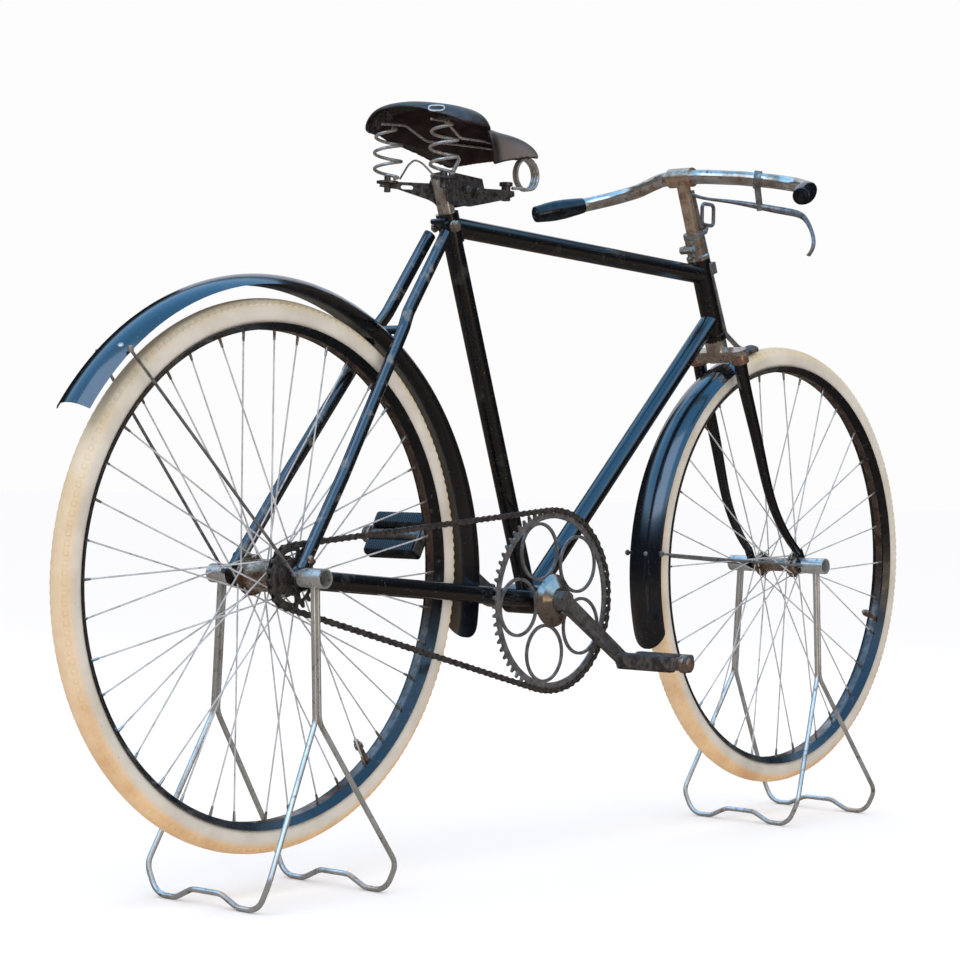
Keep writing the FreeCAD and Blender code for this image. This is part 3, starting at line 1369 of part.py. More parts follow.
rear_guard_centre = rear_axle_at + Vector(-size("rear_guard_back"), 0, -size("rear_guard_down"))
rear_strip = guard(rear_guard_centre, size("rear_guard_radius"), size("rear_guard_front_angle"),
                   size("rear_guard_back_angle"))
rear_guard = solid("rear_mudguard_body", rear_strip.cut(tongue_room(
    rear_guard_centre, size("rear_guard_radius"), size("rear_guard_front_angle"), -1)))
front_guard_centre = front_axle_at - Vector(size("front_guard_back"), 0, size("front_guard_down"))
front_strip = guard(front_guard_centre, size("front_guard_radius"), size("front_guard_upper_angle"),
                    size("front_guard_lower_angle"))
front_guard = solid("front_mudguard_body", front_strip.cut(tongue_room(
    front_guard_centre, size("front_guard_radius"), size("front_guard_lower_angle"), 1)))
keep("rear_mudguard", cut("rear_mudguard", rear_guard, list(stays.values())))
keep("front_mudguard", cut("front_mudguard", front_guard, [parts["fork_crown"]] + blades))
doc.recompute()


def guard_stays(name, centre, radius, angle, foot, carriers):
    """A thin round stay each side, from a guard's edge to the rear or fork end."""
    turn = math.radians(size(angle))
    reach = size(radius + " - guard_depth + guard_stay_in")
    out = size("guard_half_width + guard_stay_out")
    half = size("guard_stay_radius")
    pieces = []
    for side in (1, -1):
        top = centre + Vector(reach * math.cos(turn), side * out, reach * math.sin(turn))
        bottom = Vector(foot.x, side * foot.y, foot.z)
        stay = Part.makeCylinder(half, (top - bottom).Length, bottom, top - bottom)
        stay = stay.fuse(disc(size("guard_washer_radius"), bottom, -half, half))
        for carrier in carriers:
            stay = stay.cut(carrier.Shape)
        pieces.append(largest(stay))
    return keep(name, solid(name + "_body", Part.makeCompound(pieces)))


rear_stay_foot = rear_axle_at + Vector(
    -size("rear_end_radius"), size("rear_end_spread + rear_end_plate / 2 + guard_stay_radius"),
    size("guard_stay_up"))
front_stay_foot = front_axle_at + Vector(
    -size("fork_eye_behind"), size("blade_end_spread + fork_end_plate / 2 + guard_stay_radius"), 0)
guard_stays("rear_guard_stays", rear_guard_centre, "rear_guard_radius", "rear_guard_stay_angle",
            rear_stay_foot, list(stays.values()) + [parts["rear_mudguard"]])
guard_stays("front_guard_stays", front_guard_centre, "front_guard_radius", "front_guard_stay_angle",
            front_stay_foot, blades + [parts["front_mudguard"]])

# Bridges between the stays, trimmed to the stays and the mudguard

bridge_spots = [on_stay(size("upper_bridge_height"), 0),
                rear_axle_at + Vector(size("lower_bridge_ahead"), 0, -size("lower_bridge_drop"))]
bridges = []
for spot in bridge_spots:
    bridge = disc(size("bridge_radius"), spot, -size("rear_end_spread / 2"), size("rear_end_spread / 2"))
    for neighbour in list(stays.values()) + [parts["rear_mudguard"]]:
        bridge = bridge.cut(neighbour.Shape)
    bridges.append(min(bridge.Solids, key=lambda one: abs(one.CenterOfMass.y)))
keep("stay_bridges", solid("stay_bridges_body", Part.makeCompound(bridges)))

# Saddle, placed from the clamp on the seat post

seat_post = turned("seat_post_body", rod_outline("seat_post_radius", "seat_tube_length - seat_post_in",
                                                 "seat_tube_length + seat_post_out"), SEAT_TUBE)
keep("seat_post", seat_post)
doc.recompute()


def dome(depth):
    """A solid under the saddle's crown, lying a depth below the outside of the leather."""
    rings = []
    for ahead, half_width, hem, top in LEATHER:
        half = half_width - depth
        crest = top - depth
        drop = crest - hem
        section = [(-half, hem), (-0.85 * half, crest - 0.32 * drop), (-0.5 * half, crest - 0.07 * drop),
                   (0, crest), (0.5 * half, crest - 0.07 * drop), (0.85 * half, crest - 0.32 * drop),
                   (half, hem)]
        curve = Part.BSplineCurve()
        curve.interpolate([saddle_at + Vector(ahead, across, up) for across, up in section])
        base = Part.LineSegment(curve.EndPoint, curve.StartPoint)
        rings.append(Part.Wire([curve.toShape(), base.toShape()]))
    return Part.makeLoft(rings, True, False)




def below(hem, low, high):
    """Everything under a cut edge, between two distances to the left."""
    behind = hem[0][0] - 20
    corners = hem + [(hem[-1][0], 0), (behind, 0), (behind, hem[0][1] + 1)]
    return slab(corners, low, high, False)


hem_cut = below(HEM, -160, 0).fuse(below(HEM_LEFT, 0, 160))
hem_cut.translate(saddle_at)
leather = dome(0).cut(dome(size("leather"))).cut(hem_cut)
keep("saddle_leather", solid("saddle_leather_body", largest(leather)))

spring_spots = []
for side in (1, -1):
    spring_spots.append(saddle_at + Vector(-size("spring_behind"), side * size("spring_spread"), 0))
spring_seat = size("spring_top + spring_wire + soft_gap")
under_leather = dome(size("leather + pin_fit"))
strip = under_leather.cut(dome(size("leather + pin_fit + cantle_plate"))).cut(hem_cut)
strip_box = Part.makeBox(size("cantle_width"), 300, 200,
                         saddle_at - Vector(size("spring_behind + cantle_width / 2"), 150, 0))
cantle_pieces = [largest(strip.common(strip_box))]
for spot in spring_spots:
    low = spot + Vector(0, 0, spring_seat)
    cantle_pieces.append(Part.makeCylinder(size("cantle_seat_radius"), size("cantle_seat_plate"), low))
    cantle_pieces.append(Part.makeCylinder(size("cantle_post_radius"), size("cantle_post_height"), low))
cantle = cantle_pieces[0].multiFuse(cantle_pieces[1:])
cantle = largest(cantle.common(under_leather))
nose_at = saddle_at + Vector(size("nose_spring_ahead"), 0, size("nose_spring_up"))
clip_low = size("nose_spring_radius + spring_wire + soft_gap")
clip_corner = nose_at + Vector(-size("nose_clip_length / 2"), -size("nose_clip_width / 2"), clip_low)
clip_box = Part.makeBox(size("nose_clip_length"), size("nose_clip_width"), size("nose_clip_height"),
                        clip_corner)
clip = clip_box.common(under_leather)
keep("saddle_cantle", solid("saddle_cantle_body", Part.makeCompound([cantle, largest(clip)])))


def coil(place, axis_y, start_radius, wide_radius, end_radius, first, last, turns, start_turn, tail):
    """A round wire wound between two distances along its axis, with an optional straight tail."""
    spots = []
    steps = int(turns * 14)
    for index in range(steps + 1):
        share = index / steps
        grow = min(share / 0.3, 1)
        shrink = max((share - 0.75) / 0.25, 0)
        radius = start_radius + (wide_radius - start_radius) * math.sin(grow * math.pi / 2)
        radius += (end_radius - wide_radius) * shrink ** 2
        angle = start_turn - 2 * math.pi * turns * share
        along = first + (last - first) * share
        across = (radius * math.cos(angle), radius * math.sin(angle))
        if axis_y:
            spots.append(place + Vector(across[0], along, across[1]))
        else:
            spots.append(place + Vector(across[0], across[1], along))
    curve = Part.BSplineCurve()
    curve.interpolate(spots + tail)
    path = Part.Wire([curve.toShape()])
    start = Part.Circle(spots[0], curve.tangent(curve.FirstParameter)[0], size("spring_wire"))
    return path.makePipeShell([Part.Wire([start.toShape()])], True, True)


spring_foot = size("rail_top + soft_gap + spring_wire")
springs = []
for spot in spring_spots:
    springs.append(coil(spot, False, size("spring_top_radius"), size("spring_wide_radius"),
                        size("spring_foot_radius"), size("spring_top"), spring_foot, size("spring_turns"),
                        0, []))
bolt_at = saddle_at + Vector(size("front_bolt_ahead"), 0, 0)
nose_radius = size("nose_spring_radius")
tail_end = bolt_at + Vector(size("front_bolt_radius"), -size("nose_spring_half"), size("nose_tail_up"))
tail_middle = nose_at + Vector(-size("nose_tail_second"), -size("nose_spring_half"), -nose_radius)
tail = [nose_at + Vector(-size("nose_tail_first"), -size("nose_spring_half"), -nose_radius),
        (tail_middle + tail_end) / 2, tail_end]
springs.append(coil(nose_at, True, nose_radius, nose_radius, nose_radius, size("nose_spring_half"),
                    -size("nose_spring_half"), size("nose_spring_turns"), math.pi / 2, tail))


def oval_hole(ahead, up):
    """A hole with round ends through both rails."""
    half = size("rail_hole_half")
    radius = size("rail_hole_radius")
    ends = [disc(radius, Vector(ahead + way * half, 0, up), -100, 100) for way in (-1, 1)]
    middle = Part.makeBox(2 * half, 200, 2 * radius, Vector(ahead - half, -100, up - radius))
    return middle.multiFuse(ends)


thickness = size("rail_plate")
rail_pieces = []
for side in (1, -1):
    strip_side = [(ahead, side * out + thickness / 2) for ahead, out in RAIL_PLAN]
    strip_side += [(ahead, side * out - thickness / 2) for ahead, out in reversed(RAIL_PLAN)]
    rail = slab(RAIL_SIDE, -100, 100, False).common(slab(strip_side, -60, 60, True))
    for ahead in ("rail_hole_first", "rail_hole_second"):
        rail = rail.cut(oval_hole(size(ahead), size("rail_hole_up")))
    foot_at = Vector(-size("spring_behind"), side * size("spring_spread"), size("rail_top - rail_plate"))
    pad = Part.makeCylinder(size("rail_foot_radius"), thickness, foot_at)
    bolt = Part.makeCylinder(size("rail_bolt_radius"), size("rail_bolt_length"),
                             foot_at - Vector(0, 0, size("rail_bolt_below")))
    rail_pieces += [rail, pad, bolt]
block = Part.makeBox(size("clamp_length"), 2 * size("clamp_half_width"), size("clamp_height"),
                     Vector(size("clamp_ahead"), -size("clamp_half_width"), -size("clamp_below")))
clamp_bolts = []
for ahead in ("clamp_bolt_first", "clamp_bolt_second"):
    clamp_bolts.append(disc(size("clamp_bolt_radius"), Vector(size(ahead), 0, size("clamp_bolt_up")),
                            -size("clamp_bolt_half"), size("clamp_bolt_half")))
bolt_ahead = bolt_at - saddle_at
front_bolt = Part.makeCylinder(size("front_bolt_radius"), size("front_bolt_length"),
                               bolt_ahead - Vector(0, 0, size("front_bolt_below")))
front_head = Part.makeCylinder(size("front_bolt_head_radius"), size("front_bolt_head"),
                               bolt_ahead + Vector(0, 0, size("front_bolt_length - front_bolt_below - 1")))
saddle_frame = rail_pieces[0].multiFuse(rail_pieces[1:] + [block, front_bolt, front_head] + clamp_bolts)
saddle_frame.translate(saddle_at)
post_room = turned("post_room", rod_outline("seat_post_radius", "seat_tube_length - seat_post_in",
                                            "seat_tube_length + post_room_out"), SEAT_TUBE)
saddle_frame_body = solid("saddle_frame_body", saddle_frame)
saddle_frame_piece = keep("saddle_frame", cut("saddle_frame", saddle_frame_body, [post_room]))
doc.recompute()
springs = [largest(spring.cut(saddle_frame_piece.Shape)) for spring in springs]
keep("saddle_springs", solid("saddle_springs_body", Part.makeCompound(springs)))

wires = []
for side in (1, -1):
    spots = [saddle_at + Vector(ahead, side * out, up) for ahead, out, up in BENDS["saddle_wire"]]
    wires.append(pipe(spots, size("saddle_wire_bend"), size("saddle_wire_radius")))
    spots = [saddle_at + Vector(ahead, side * out, up) for ahead, out, up in BENDS["spring_tail"]]
    wires.append(pipe(spots, size("spring_tail_bend"), size("spring_tail_radius")))
fitted = []
for wire in wires:
    for neighbour in [cantle, largest(clip), saddle_frame_piece.Shape] + springs:
        wire = wire.cut(neighbour)
    fitted.append(largest(wire))
keep("saddle_wires", solid("saddle_wires_body", Part.makeCompound(fitted)))

# Wire stands under both axles


def stand(axle_at, inner_end):
    """Two bent rods welded to two socket tubes, each tube seated on an axle nut and open beyond it."""
    radius = size("stand_rod_radius")
    pieces = []
    socket_outer = size("stand_socket_radius")
    length = size("stand_socket_length")
    for side in (1, -1):
        start = inner_end if side > 0 else -inner_end - length
        pieces.append(disc(socket_outer, axle_at, start, start + length))
    top_spread = inner_end + size("stand_rod_along")
    height = size("axle_height")
    for way in (1, -1):
        near = way * radius * 0.98
        foot = size("stand_foot_ahead") + way * size("stand_foot_reach")
        half = [
            Vector(near, top_spread, size("stand_rod_sunk") - socket_outer),
            Vector(near, top_spread + size("stand_rod_out"), -size("stand_split")),
            Vector(foot, size("stand_foot_spread"), size("stand_knee") - height),
            Vector(foot, size("stand_rest_spread + stand_rest_half"), radius - height),
            Vector(foot, size("stand_rest_spread - stand_rest_half"), radius - height),
            Vector(foot, size("stand_bar_half"), radius - height + size("stand_bar_rise")),
        ]
        spots = half + mirrored(half)[::-1]
        pieces.append(pipe([axle_at + spot for spot in spots], size("stand_bend"), radius))
    shape = pieces[0].multiFuse(pieces[1:])
    seat_end = inner_end + size("stand_seat_length")
    for side in (1, -1):
        seat = (inner_end, seat_end) if side > 0 else (-seat_end, -inner_end)
        open_end = (seat_end, 200) if side > 0 else (-200, -seat_end)
        shape = shape.cut(disc(size("axle_nut_radius + pin_fit"), axle_at, *seat))
        shape = shape.cut(disc(size("stand_socket_radius - stand_socket_wall"), axle_at, *open_end))
    return shape


rear_inner = size("rear_end_spread + rear_end_plate / 2")
front_inner = size("blade_end_spread + fork_end_plate / 2")
keep("rear_stand", solid("rear_stand_body", stand(rear_axle_at, rear_inner)))
keep("front_stand", solid("front_stand_body", stand(front_axle_at, front_inner)))

# Check everything, then write one file for each piece

doc.recompute()
for item in doc.Objects:
    if "Invalid" in item.State or "Error" in item.State:
        raise RuntimeError("%s is %s" % (item.Name, item.State))
os.makedirs("parts", exist_ok=True)
for label, part in parts.items():
    shape = part.Shape
    if shape.isNull() or not shape.isValid() or not shape.Solids:
        raise RuntimeError("%s has no valid solid" % label)
    shape.exportStep(os.path.join("parts", label + ".step"))
    print(label, len(shape.Solids), round(shape.Volume))
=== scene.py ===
# %% [markdown]
# An old roadster on two wire stands.
#
# The imported model holds every piece of the bicycle at its real size and place: frame tubes, stays,
# wheels, drive, saddle and bars. This lesson gives those pieces their finishes, and makes again what
# the solids hold only as a plain stand-in, such as the tyres, the chain, the saddle's hide and the
# pedal rubbers. The first cell loads the model, and a function there reads the box of any of its pieces.

# %% Load the imported model
import math

import bmesh
import bpy
from mathutils import Matrix, Vector


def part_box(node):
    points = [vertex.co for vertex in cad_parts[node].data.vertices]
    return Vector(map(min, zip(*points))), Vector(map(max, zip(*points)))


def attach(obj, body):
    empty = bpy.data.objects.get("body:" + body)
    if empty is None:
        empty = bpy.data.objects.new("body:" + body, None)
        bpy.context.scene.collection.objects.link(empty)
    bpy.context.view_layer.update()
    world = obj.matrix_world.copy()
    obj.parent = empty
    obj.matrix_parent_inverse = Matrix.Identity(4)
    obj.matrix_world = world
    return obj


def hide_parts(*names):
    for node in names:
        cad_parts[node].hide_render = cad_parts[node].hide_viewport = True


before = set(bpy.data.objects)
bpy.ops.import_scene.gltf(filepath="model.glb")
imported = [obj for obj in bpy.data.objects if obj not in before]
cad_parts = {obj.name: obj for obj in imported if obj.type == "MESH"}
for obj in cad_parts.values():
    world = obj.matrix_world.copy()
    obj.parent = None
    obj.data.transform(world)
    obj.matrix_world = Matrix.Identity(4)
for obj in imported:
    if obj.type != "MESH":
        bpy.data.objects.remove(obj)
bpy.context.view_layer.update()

MM = 0.001
SAME_PLACE = 1e-6


def placed(name, data):
    """A new object in the scene, from its mesh, camera or lamp."""
    thing = bpy.data.objects.new(name, data)
    bpy.context.scene.collection.objects.link(thing)
    return thing


# %% [markdown]
# Camera. The picture was taken from behind and from the right, at about half the bicycle's height,
# with a long lens, so the far wheel looks only a fifth smaller than the near one. A camera could be
# aimed with a Track To constraint at an empty, but that holds it upright, and this one is rolled by
# a degree. Its three axes are worked out here from the yaw, pitch and roll instead, and written into
# its matrix.

# %% Camera
CAMERA_PLACE = Vector((-2.881, -2.2902, 0.5359))
CAMERA_YAW = math.radians(40.21)
CAMERA_PITCH = math.radians(0.06)
CAMERA_ROLL = math.radians(1.11)
CAMERA_LENS_MM = 94.44
SENSOR_WIDTH_MM = 36

looking = Vector((math.cos(CAMERA_YAW) * math.cos(CAMERA_PITCH),
                  math.sin(CAMERA_YAW) * math.cos(CAMERA_PITCH), math.sin(CAMERA_PITCH)))
level = Vector((math.sin(CAMERA_YAW), -math.cos(CAMERA_YAW), 0))
upright = level.cross(looking)
camera_right = math.cos(CAMERA_ROLL) * level + math.sin(CAMERA_ROLL) * upright
camera_up = math.cos(CAMERA_ROLL) * upright - math.sin(CAMERA_ROLL) * level
camera_data = bpy.data.cameras.new("photo_camera")
camera_data.lens = CAMERA_LENS_MM
camera_data.sensor_width = SENSOR_WIDTH_MM
camera = placed("photo_camera", camera_data)
camera.matrix_world = Matrix.Translation(CAMERA_PLACE) @ Matrix((
    (camera_right.x, camera_up.x, -looking.x, 0), (camera_right.y, camera_up.y, -looking.y, 0),
    (camera_right.z, camera_up.z, -looking.z, 0), (0, 0, 0, 1)))
bpy.context.scene.camera = camera
print("camera at", tuple(round(c, 3) for c in CAMERA_PLACE))

# %% [markdown]
# Colours are written as the hex values that a painter would pick on screen. Blender's sockets hold
# linear light, so one function turns the one into the other.
#
# One more function adds a node to a material: its settings go into sockets or options by name, and
# its links join its sockets to other nodes. The small functions after it call it for what is wanted
# again and again: one part of a vector, a mask between two limits, and a Math node of two values.

# %% Colour and node helpers
def linear(hex_colour):
    """An sRGB hex colour as linear red, green, blue and alpha."""
    parts = [int(hex_colour[place:place + 2], 16) / 255 for place in (1, 3, 5)]
    return [part / 12.92 if part <= 0.04045 else ((part + 0.055) / 1.055) ** 2.4 for part in parts] + [1]


def add_node(tree, kind, settings=(), links=()):
    """Adds one node to a tree, with its settings and its links by socket name or number."""
    node = tree.nodes.new(kind)
    for name, value in dict(settings).items():
        if isinstance(name, int) or name in node.inputs:
            node.inputs[name].default_value = value
        else:
            setattr(node, name, value)
    for name, source in dict(links).items():
        tree.links.new(source, node.inputs[name])
    return node


def axis_of(tree, vector, axis):
    """One part of a vector: X, Y or Z."""
    return add_node(tree, "ShaderNodeSeparateXYZ", {}, {0: vector}).outputs[axis]


def between(tree, value, low, high):
    """A mask that is 0 where a value reaches the first limit and 1 where it reaches the second."""
    limits = {"From Min": low, "From Max": high}
    return add_node(tree, "ShaderNodeMapRange", limits, {"Value": value}).outputs[0]


def joined(tree, operation, first, second, clamp=False):
    """A Math node of two values, each a number or the output of a node."""
    node = add_node(tree, "ShaderNodeMath", {"operation": operation, "use_clamp": clamp})
    for place, value in enumerate((first, second)):
        if isinstance(value, (int, float)):
            node.inputs[place].default_value = value
        else:
            tree.links.new(value, node.inputs[place])
    return node.outputs[0]


def new_material(name):
    """An empty material with its surface shader and Object coordinates."""
    material = bpy.data.materials.new(name)
    material.use_nodes = True
    tree = material.node_tree
    tree.nodes.clear()
    shader = add_node(tree, "ShaderNodeBsdfPrincipled")
    add_node(tree, "ShaderNodeOutputMaterial", {}, {"Surface": shader.outputs[0]})
    place = add_node(tree, "ShaderNodeTexCoord").outputs["Object"]
    return material, tree, shader, place


# %% [markdown]
# A patchy finish. Old paint and plating are never one colour: they fade, brown and pit in patches
# of several sizes. An image could show this, but a noise texture does it at any distance and needs
# no unwrapping. Its scale is worked out from the size of a patch in millimetres. A ramp between two
# limits turns the noise into a mask, and the mask mixes two colours.

# %% Patches and grain
NOISE_ROUGHNESS = 0.6


def patches(tree, place, size_mm, low=0.45, high=0.6, detail=4, stretch=(1, 1, 1)):
    """A mask from 0 to 1 in patches of a size in millimetres."""
    mapping = add_node(tree, "ShaderNodeMapping", {"Scale": stretch}, {"Vector": place})
    settings = {"Scale": 1 / (size_mm * MM), "Detail": detail, "Roughness": NOISE_ROUGHNESS}
    noise = add_node(tree, "ShaderNodeTexNoise", settings, {"Vector": mapping.outputs[0]})
    return between(tree, noise.outputs[0], low, high)


def mixed(tree, mask, first, second):
    """The first colour where the mask is 0 and the second where it is 1."""
    node = add_node(tree, "ShaderNodeMixRGB", {}, {"Fac": mask})
    for name, colour in (("Color1", first), ("Color2", second)):
        if isinstance(colour, str):
            node.inputs[name].default_value = linear(colour)
        else:
            tree.links.new(colour, node.inputs[name])
    return node.outputs[0]


def ranged(tree, mask, low, high):
    """A value that runs from low to high with the mask."""
    return add_node(tree, "ShaderNodeMapRange", {"To Min": low, "To Max": high}, {"Value": mask}).outputs[0]


def bumped(tree, shader, height, depth_mm, strength=1.0):
    """Raises the surface by a height from 0 to 1 times a depth in millimetres."""
    settings = {"Distance": depth_mm * MM, "Strength": strength}
    bump = add_node(tree, "ShaderNodeBump", settings, {"Height": height})
    tree.links.new(bump.outputs[0], shader.inputs["Normal"])


# %% [markdown]
# Frame enamel: black stove enamel, dipped and baked on steel tube. It is a hard gloss coat, so it
# mirrors the sky, with fine scratches that soften the reflection and rubbed places where it has
# gone dull, grey or brown. A clear coat over a nearly black base gives the deep gloss. Its index is
# set above that of a plain varnish, because the tubes in the picture mirror more of the sky than a
# varnish would.

# %% Frame enamel
WEAR_EDGE = 0.12
SPOT_MM = 3.2
COAT_ROUGHNESS = 0.12


def coated(shader, weight, index):
    """A clear coat with fine scratches."""
    for name, value in (("Coat Weight", weight), ("Coat Roughness", COAT_ROUGHNESS), ("Coat IOR", index)):
        shader.inputs[name].default_value = value


def stove_enamel(name, base, worn, wear_from, patch_mm, coat):
    """Black gloss paint with rubbed and spotted places."""
    material, tree, shader, place = new_material(name)
    rubbed = patches(tree, place, patch_mm, wear_from, wear_from + WEAR_EDGE, 6)
    spots = patches(tree, place, SPOT_MM, 0.66, 0.72, 3)
    colour = mixed(tree, rubbed, base, worn)
    colour = mixed(tree, spots, colour, "#5b4a3c")
    tree.links.new(colour, shader.inputs["Base Color"])
    dull = joined(tree, "MAXIMUM", rubbed, spots)
    tree.links.new(ranged(tree, dull, 0.2, 0.46), shader.inputs["Roughness"])
    coated(shader, coat, 1.7)
    shader.inputs["IOR"].default_value = 1.6
    bumped(tree, shader, patches(tree, place, 9, 0.3, 0.7, 5), 0.05)
    return material


frame_enamel = stove_enamel("stove_enamel_black", "#0a0b0e", "#2a2827", 0.6, 38, 0.75)
guard_enamel = stove_enamel("stove_enamel_guard", "#0b1017", "#232b34", 0.63, 55, 0.9)
stay_enamel = stove_enamel("stove_enamel_worn_stays", "#0e1218", "#6b665f", 0.56, 22, 0.8)

# %% [markdown]
# Rims: rolled steel, black enamelled, with a bare plated band along the middle of the well where
# the spokes come through. The band follows the distance from the wheel's middle plane, which is the
# model's own middle plane, so Object coordinates are enough and no unwrapping is needed.

# %% Rim enamel with its plated band
RIM_BAND_HALF_MM = 5.5
RIM_BAND_EDGE_MM = 0.7
rim_enamel, tree, shader, place = new_material("rim_enamel_with_band")
side = axis_of(tree, place, "Y")
across = add_node(tree, "ShaderNodeMath", {"operation": "ABSOLUTE"}, {0: side}).outputs[0]
band = between(tree, across, (RIM_BAND_HALF_MM + RIM_BAND_EDGE_MM) * MM,
               (RIM_BAND_HALF_MM - RIM_BAND_EDGE_MM) * MM)
rim_dirt = patches(tree, place, 20, 0.42, 0.65, 6)
plated = mixed(tree, rim_dirt, "#7d6a60", "#4a3b33")
painted = mixed(tree, patches(tree, place, 14, 0.62, 0.7, 5), "#0c0f13", "#4c4038")
tree.links.new(mixed(tree, band, painted, plated), shader.inputs["Base Color"])
tree.links.new(ranged(tree, band, 0, 0.8), shader.inputs["Metallic"])
tree.links.new(ranged(tree, rim_dirt, 0.2, 0.45), shader.inputs["Roughness"])
coated(shader, 0.45, 1.6)

# %% [markdown]
# Metals. Nickel plate on steel goes warm and brown with age, and wears to the copper under it. Bare
# steel goes grey with dark grime in its hollows. The zinc on the wire stands is pale and a little
# warm. All have two or three mixed colours, and the roughness follows the same mask, so a browned
# place is duller too. Dust and oxide lie on old metal and scatter light, so each is less than a full
# metal: the nickel by a tenth or two, the steels and the stands by about three tenths, the small
# saddle plate by four tenths, and the spokes, which are thin and dull, by most of it. A metal keeps
# the default index of refraction.

# %% Metals
FINE_PITS = 0.012


def metal(name, clean, aged, stain, patch_mm, smooth, rough, bare, pit_depth_mm=0.04, pits_mm=1.6,
          stretch=(1, 1, 1)):
    """A bare or plated metal with aged patches and small stains."""
    material, tree, shader, place = new_material(name)
    old = patches(tree, place, patch_mm, 0.38, 0.64, 7, stretch)
    stained = patches(tree, place, patch_mm * 0.3, 0.58, 0.7, 5)
    colour = mixed(tree, stained, mixed(tree, old, clean, aged), stain)
    tree.links.new(colour, shader.inputs["Base Color"])
    shader.inputs["Metallic"].default_value = bare
    tree.links.new(ranged(tree, old, smooth, rough), shader.inputs["Roughness"])
    bumped(tree, shader, patches(tree, place, pits_mm, 0.35, 0.75, 3), pit_depth_mm)
    return material


aged_nickel = metal("nickel_plate_browned", "#d8cfc4", "#a58f78", "#5d4130", 18, 0.14, 0.32, 0.85, FINE_PITS)
hub_nickel = metal("nickel_plate_hub", "#c2ae9b", "#8f735c", "#4a3527", 20, 0.16, 0.32, 0.85, FINE_PITS)
worn_steel = metal("steel_worn_grey", "#9c9998", "#6e6966", "#43382f", 10, 0.3, 0.5, 0.7)
dark_steel = metal("steel_crank_dark", "#86827f", "#5c5754", "#3a322d", 14, 0.3, 0.5, 0.7)
spring_steel = metal("steel_spring_bright", "#cfcac3", "#9c9086", "#5f4d3f", 7, 0.2, 0.4, 0.68)
oiled_steel = metal("steel_chain_oiled", "#6e6762", "#3f3935", "#1f1916", 6, 0.3, 0.5, 0.7)
bright_wire = metal("zinc_plated_wire", "#e2e1dd", "#c0bdb6", "#8a7f70", 30, 0.18, 0.32, 0.72, 0.02, 2.4,
                    (1, 1, 0.25))
spoke_wire = metal("spoke_wire_dull", "#c9c9c9", "#a6a6a6", "#7a736a", 26, 0.35, 0.5, 0.15)
copper_brass = metal("copper_wash_worn", "#bb9683", "#8c6a57", "#4c372b", 8, 0.2, 0.38, 0.8)
bar_nickel = metal("nickel_plate_bar", "#e4dfd8", "#b7a38e", "#6b4e3b", 24, 0.1, 0.24, 0.84, FINE_PITS)
stem_nickel = metal("nickel_plate_worn_copper", "#dcc5ae", "#a88367", "#5f4332", 16, 0.14, 0.28, 0.78,
                    FINE_PITS)
plate_nickel = metal("nickel_plate_pale", "#ddd8ce", "#c0b6a8", "#85705d", 6, 0.25, 0.42, 0.6)
saddle_steel = metal("steel_saddle_dark", "#77726e", "#3b3633", "#241c18", 7, 0.24, 0.46, 0.75)
boss_nickel = metal("nickel_plate_boss", "#b9ada1", "#94816f", "#5b4738", 34, 0.14, 0.26, 0.92, 0.01)

# %% [markdown]
# Rubbers. The tyre is old natural rubber: cream on its walls and gone ochre on its tread, with a dusty,
# wholly matt surface. The walls are drawn a little darker than their cream, as painted shade, and the
# tread turns more orange towards the bottom of the wheel, as a painted glow of warm light from the
# ground. Where each colour goes follows the tyre's own section, so the piece carries a number from 0
# at the rim to 1 at the crown, and the material reads it. Grips are hard polished rubber. The right
# pedal's rubbers are soft, dull and dusty, and the left's are smoother and darker.

# %% Rubbers
# Heights in metres over which the tread takes on a painted warm glow of light from the ground.
GROUND_GLOW_HEIGHTS_M = (0.62, 0.12)
TREAD_EDGE = (0.44, 0.62)
RIM_GRIME = (0.1, 0.0)
tyre_rubber, tree, shader, place = new_material("rubber_cream_tyre")
crown = add_node(tree, "ShaderNodeAttribute", {"attribute_name": "crown"}).outputs["Fac"]
# The wall colours are set a little darker than the rubber's cream: painted shade.
wall_cream_and_shade = mixed(tree, patches(tree, place, 60, 0.4, 0.7, 6), "#c9c1b4", "#b6ad9e")
wall_cream_and_shade = mixed(tree, patches(tree, place, 4, 0.7, 0.76, 3), wall_cream_and_shade, "#93866f")
# Painted warm light from the ground: the tread goes more orange towards the bottom of the wheel.
painted_ground_glow = between(tree, axis_of(tree, place, "Z"), *GROUND_GLOW_HEIGHTS_M)
tread_ochre_and_glow = mixed(tree, patches(tree, place, 60, 0.38, 0.7, 5),
                     mixed(tree, painted_ground_glow, "#d6cbb6", "#dcb888"),
                     mixed(tree, painted_ground_glow, "#cdbb97", "#cb9a6a"))
tyre_colour = mixed(tree, between(tree, crown, *TREAD_EDGE), wall_cream_and_shade, tread_ochre_and_glow)
grime = between(tree, crown, *RIM_GRIME)
tree.links.new(mixed(tree, grime, tyre_colour, "#a09482"), shader.inputs["Base Color"])
shader.inputs["Roughness"].default_value = 0.72
shader.inputs["IOR"].default_value = 1.52
bumped(tree, shader, patches(tree, place, 1.5, 0.3, 0.7, 4), 0.12)


def rubber(name, colour, worn, smooth, rough, grain_mm):
    """Black rubber, more or less polished."""
    material, tree, shader, place = new_material(name)
    dusty = patches(tree, place, 12, 0.45, 0.7, 6)
    tree.links.new(mixed(tree, dusty, colour, worn), shader.inputs["Base Color"])
    tree.links.new(ranged(tree, dusty, smooth, rough), shader.inputs["Roughness"])
    shader.inputs["IOR"].default_value = 1.54
    bumped(tree, shader, patches(tree, place, grain_mm, 0.3, 0.7, 3), 0.06)
    return material


grip_rubber = rubber("hard_rubber_polished", "#0b0e13", "#20262e", 0.12, 0.28, 3)
pedal_rubber = rubber("pedal_rubber_dusty", "#2b2725", "#5f5750", 0.45, 0.66, 1.1)
smooth_rubber = rubber("pedal_rubber_smooth", "#0e1115", "#23272d", 0.24, 0.42, 2.2)
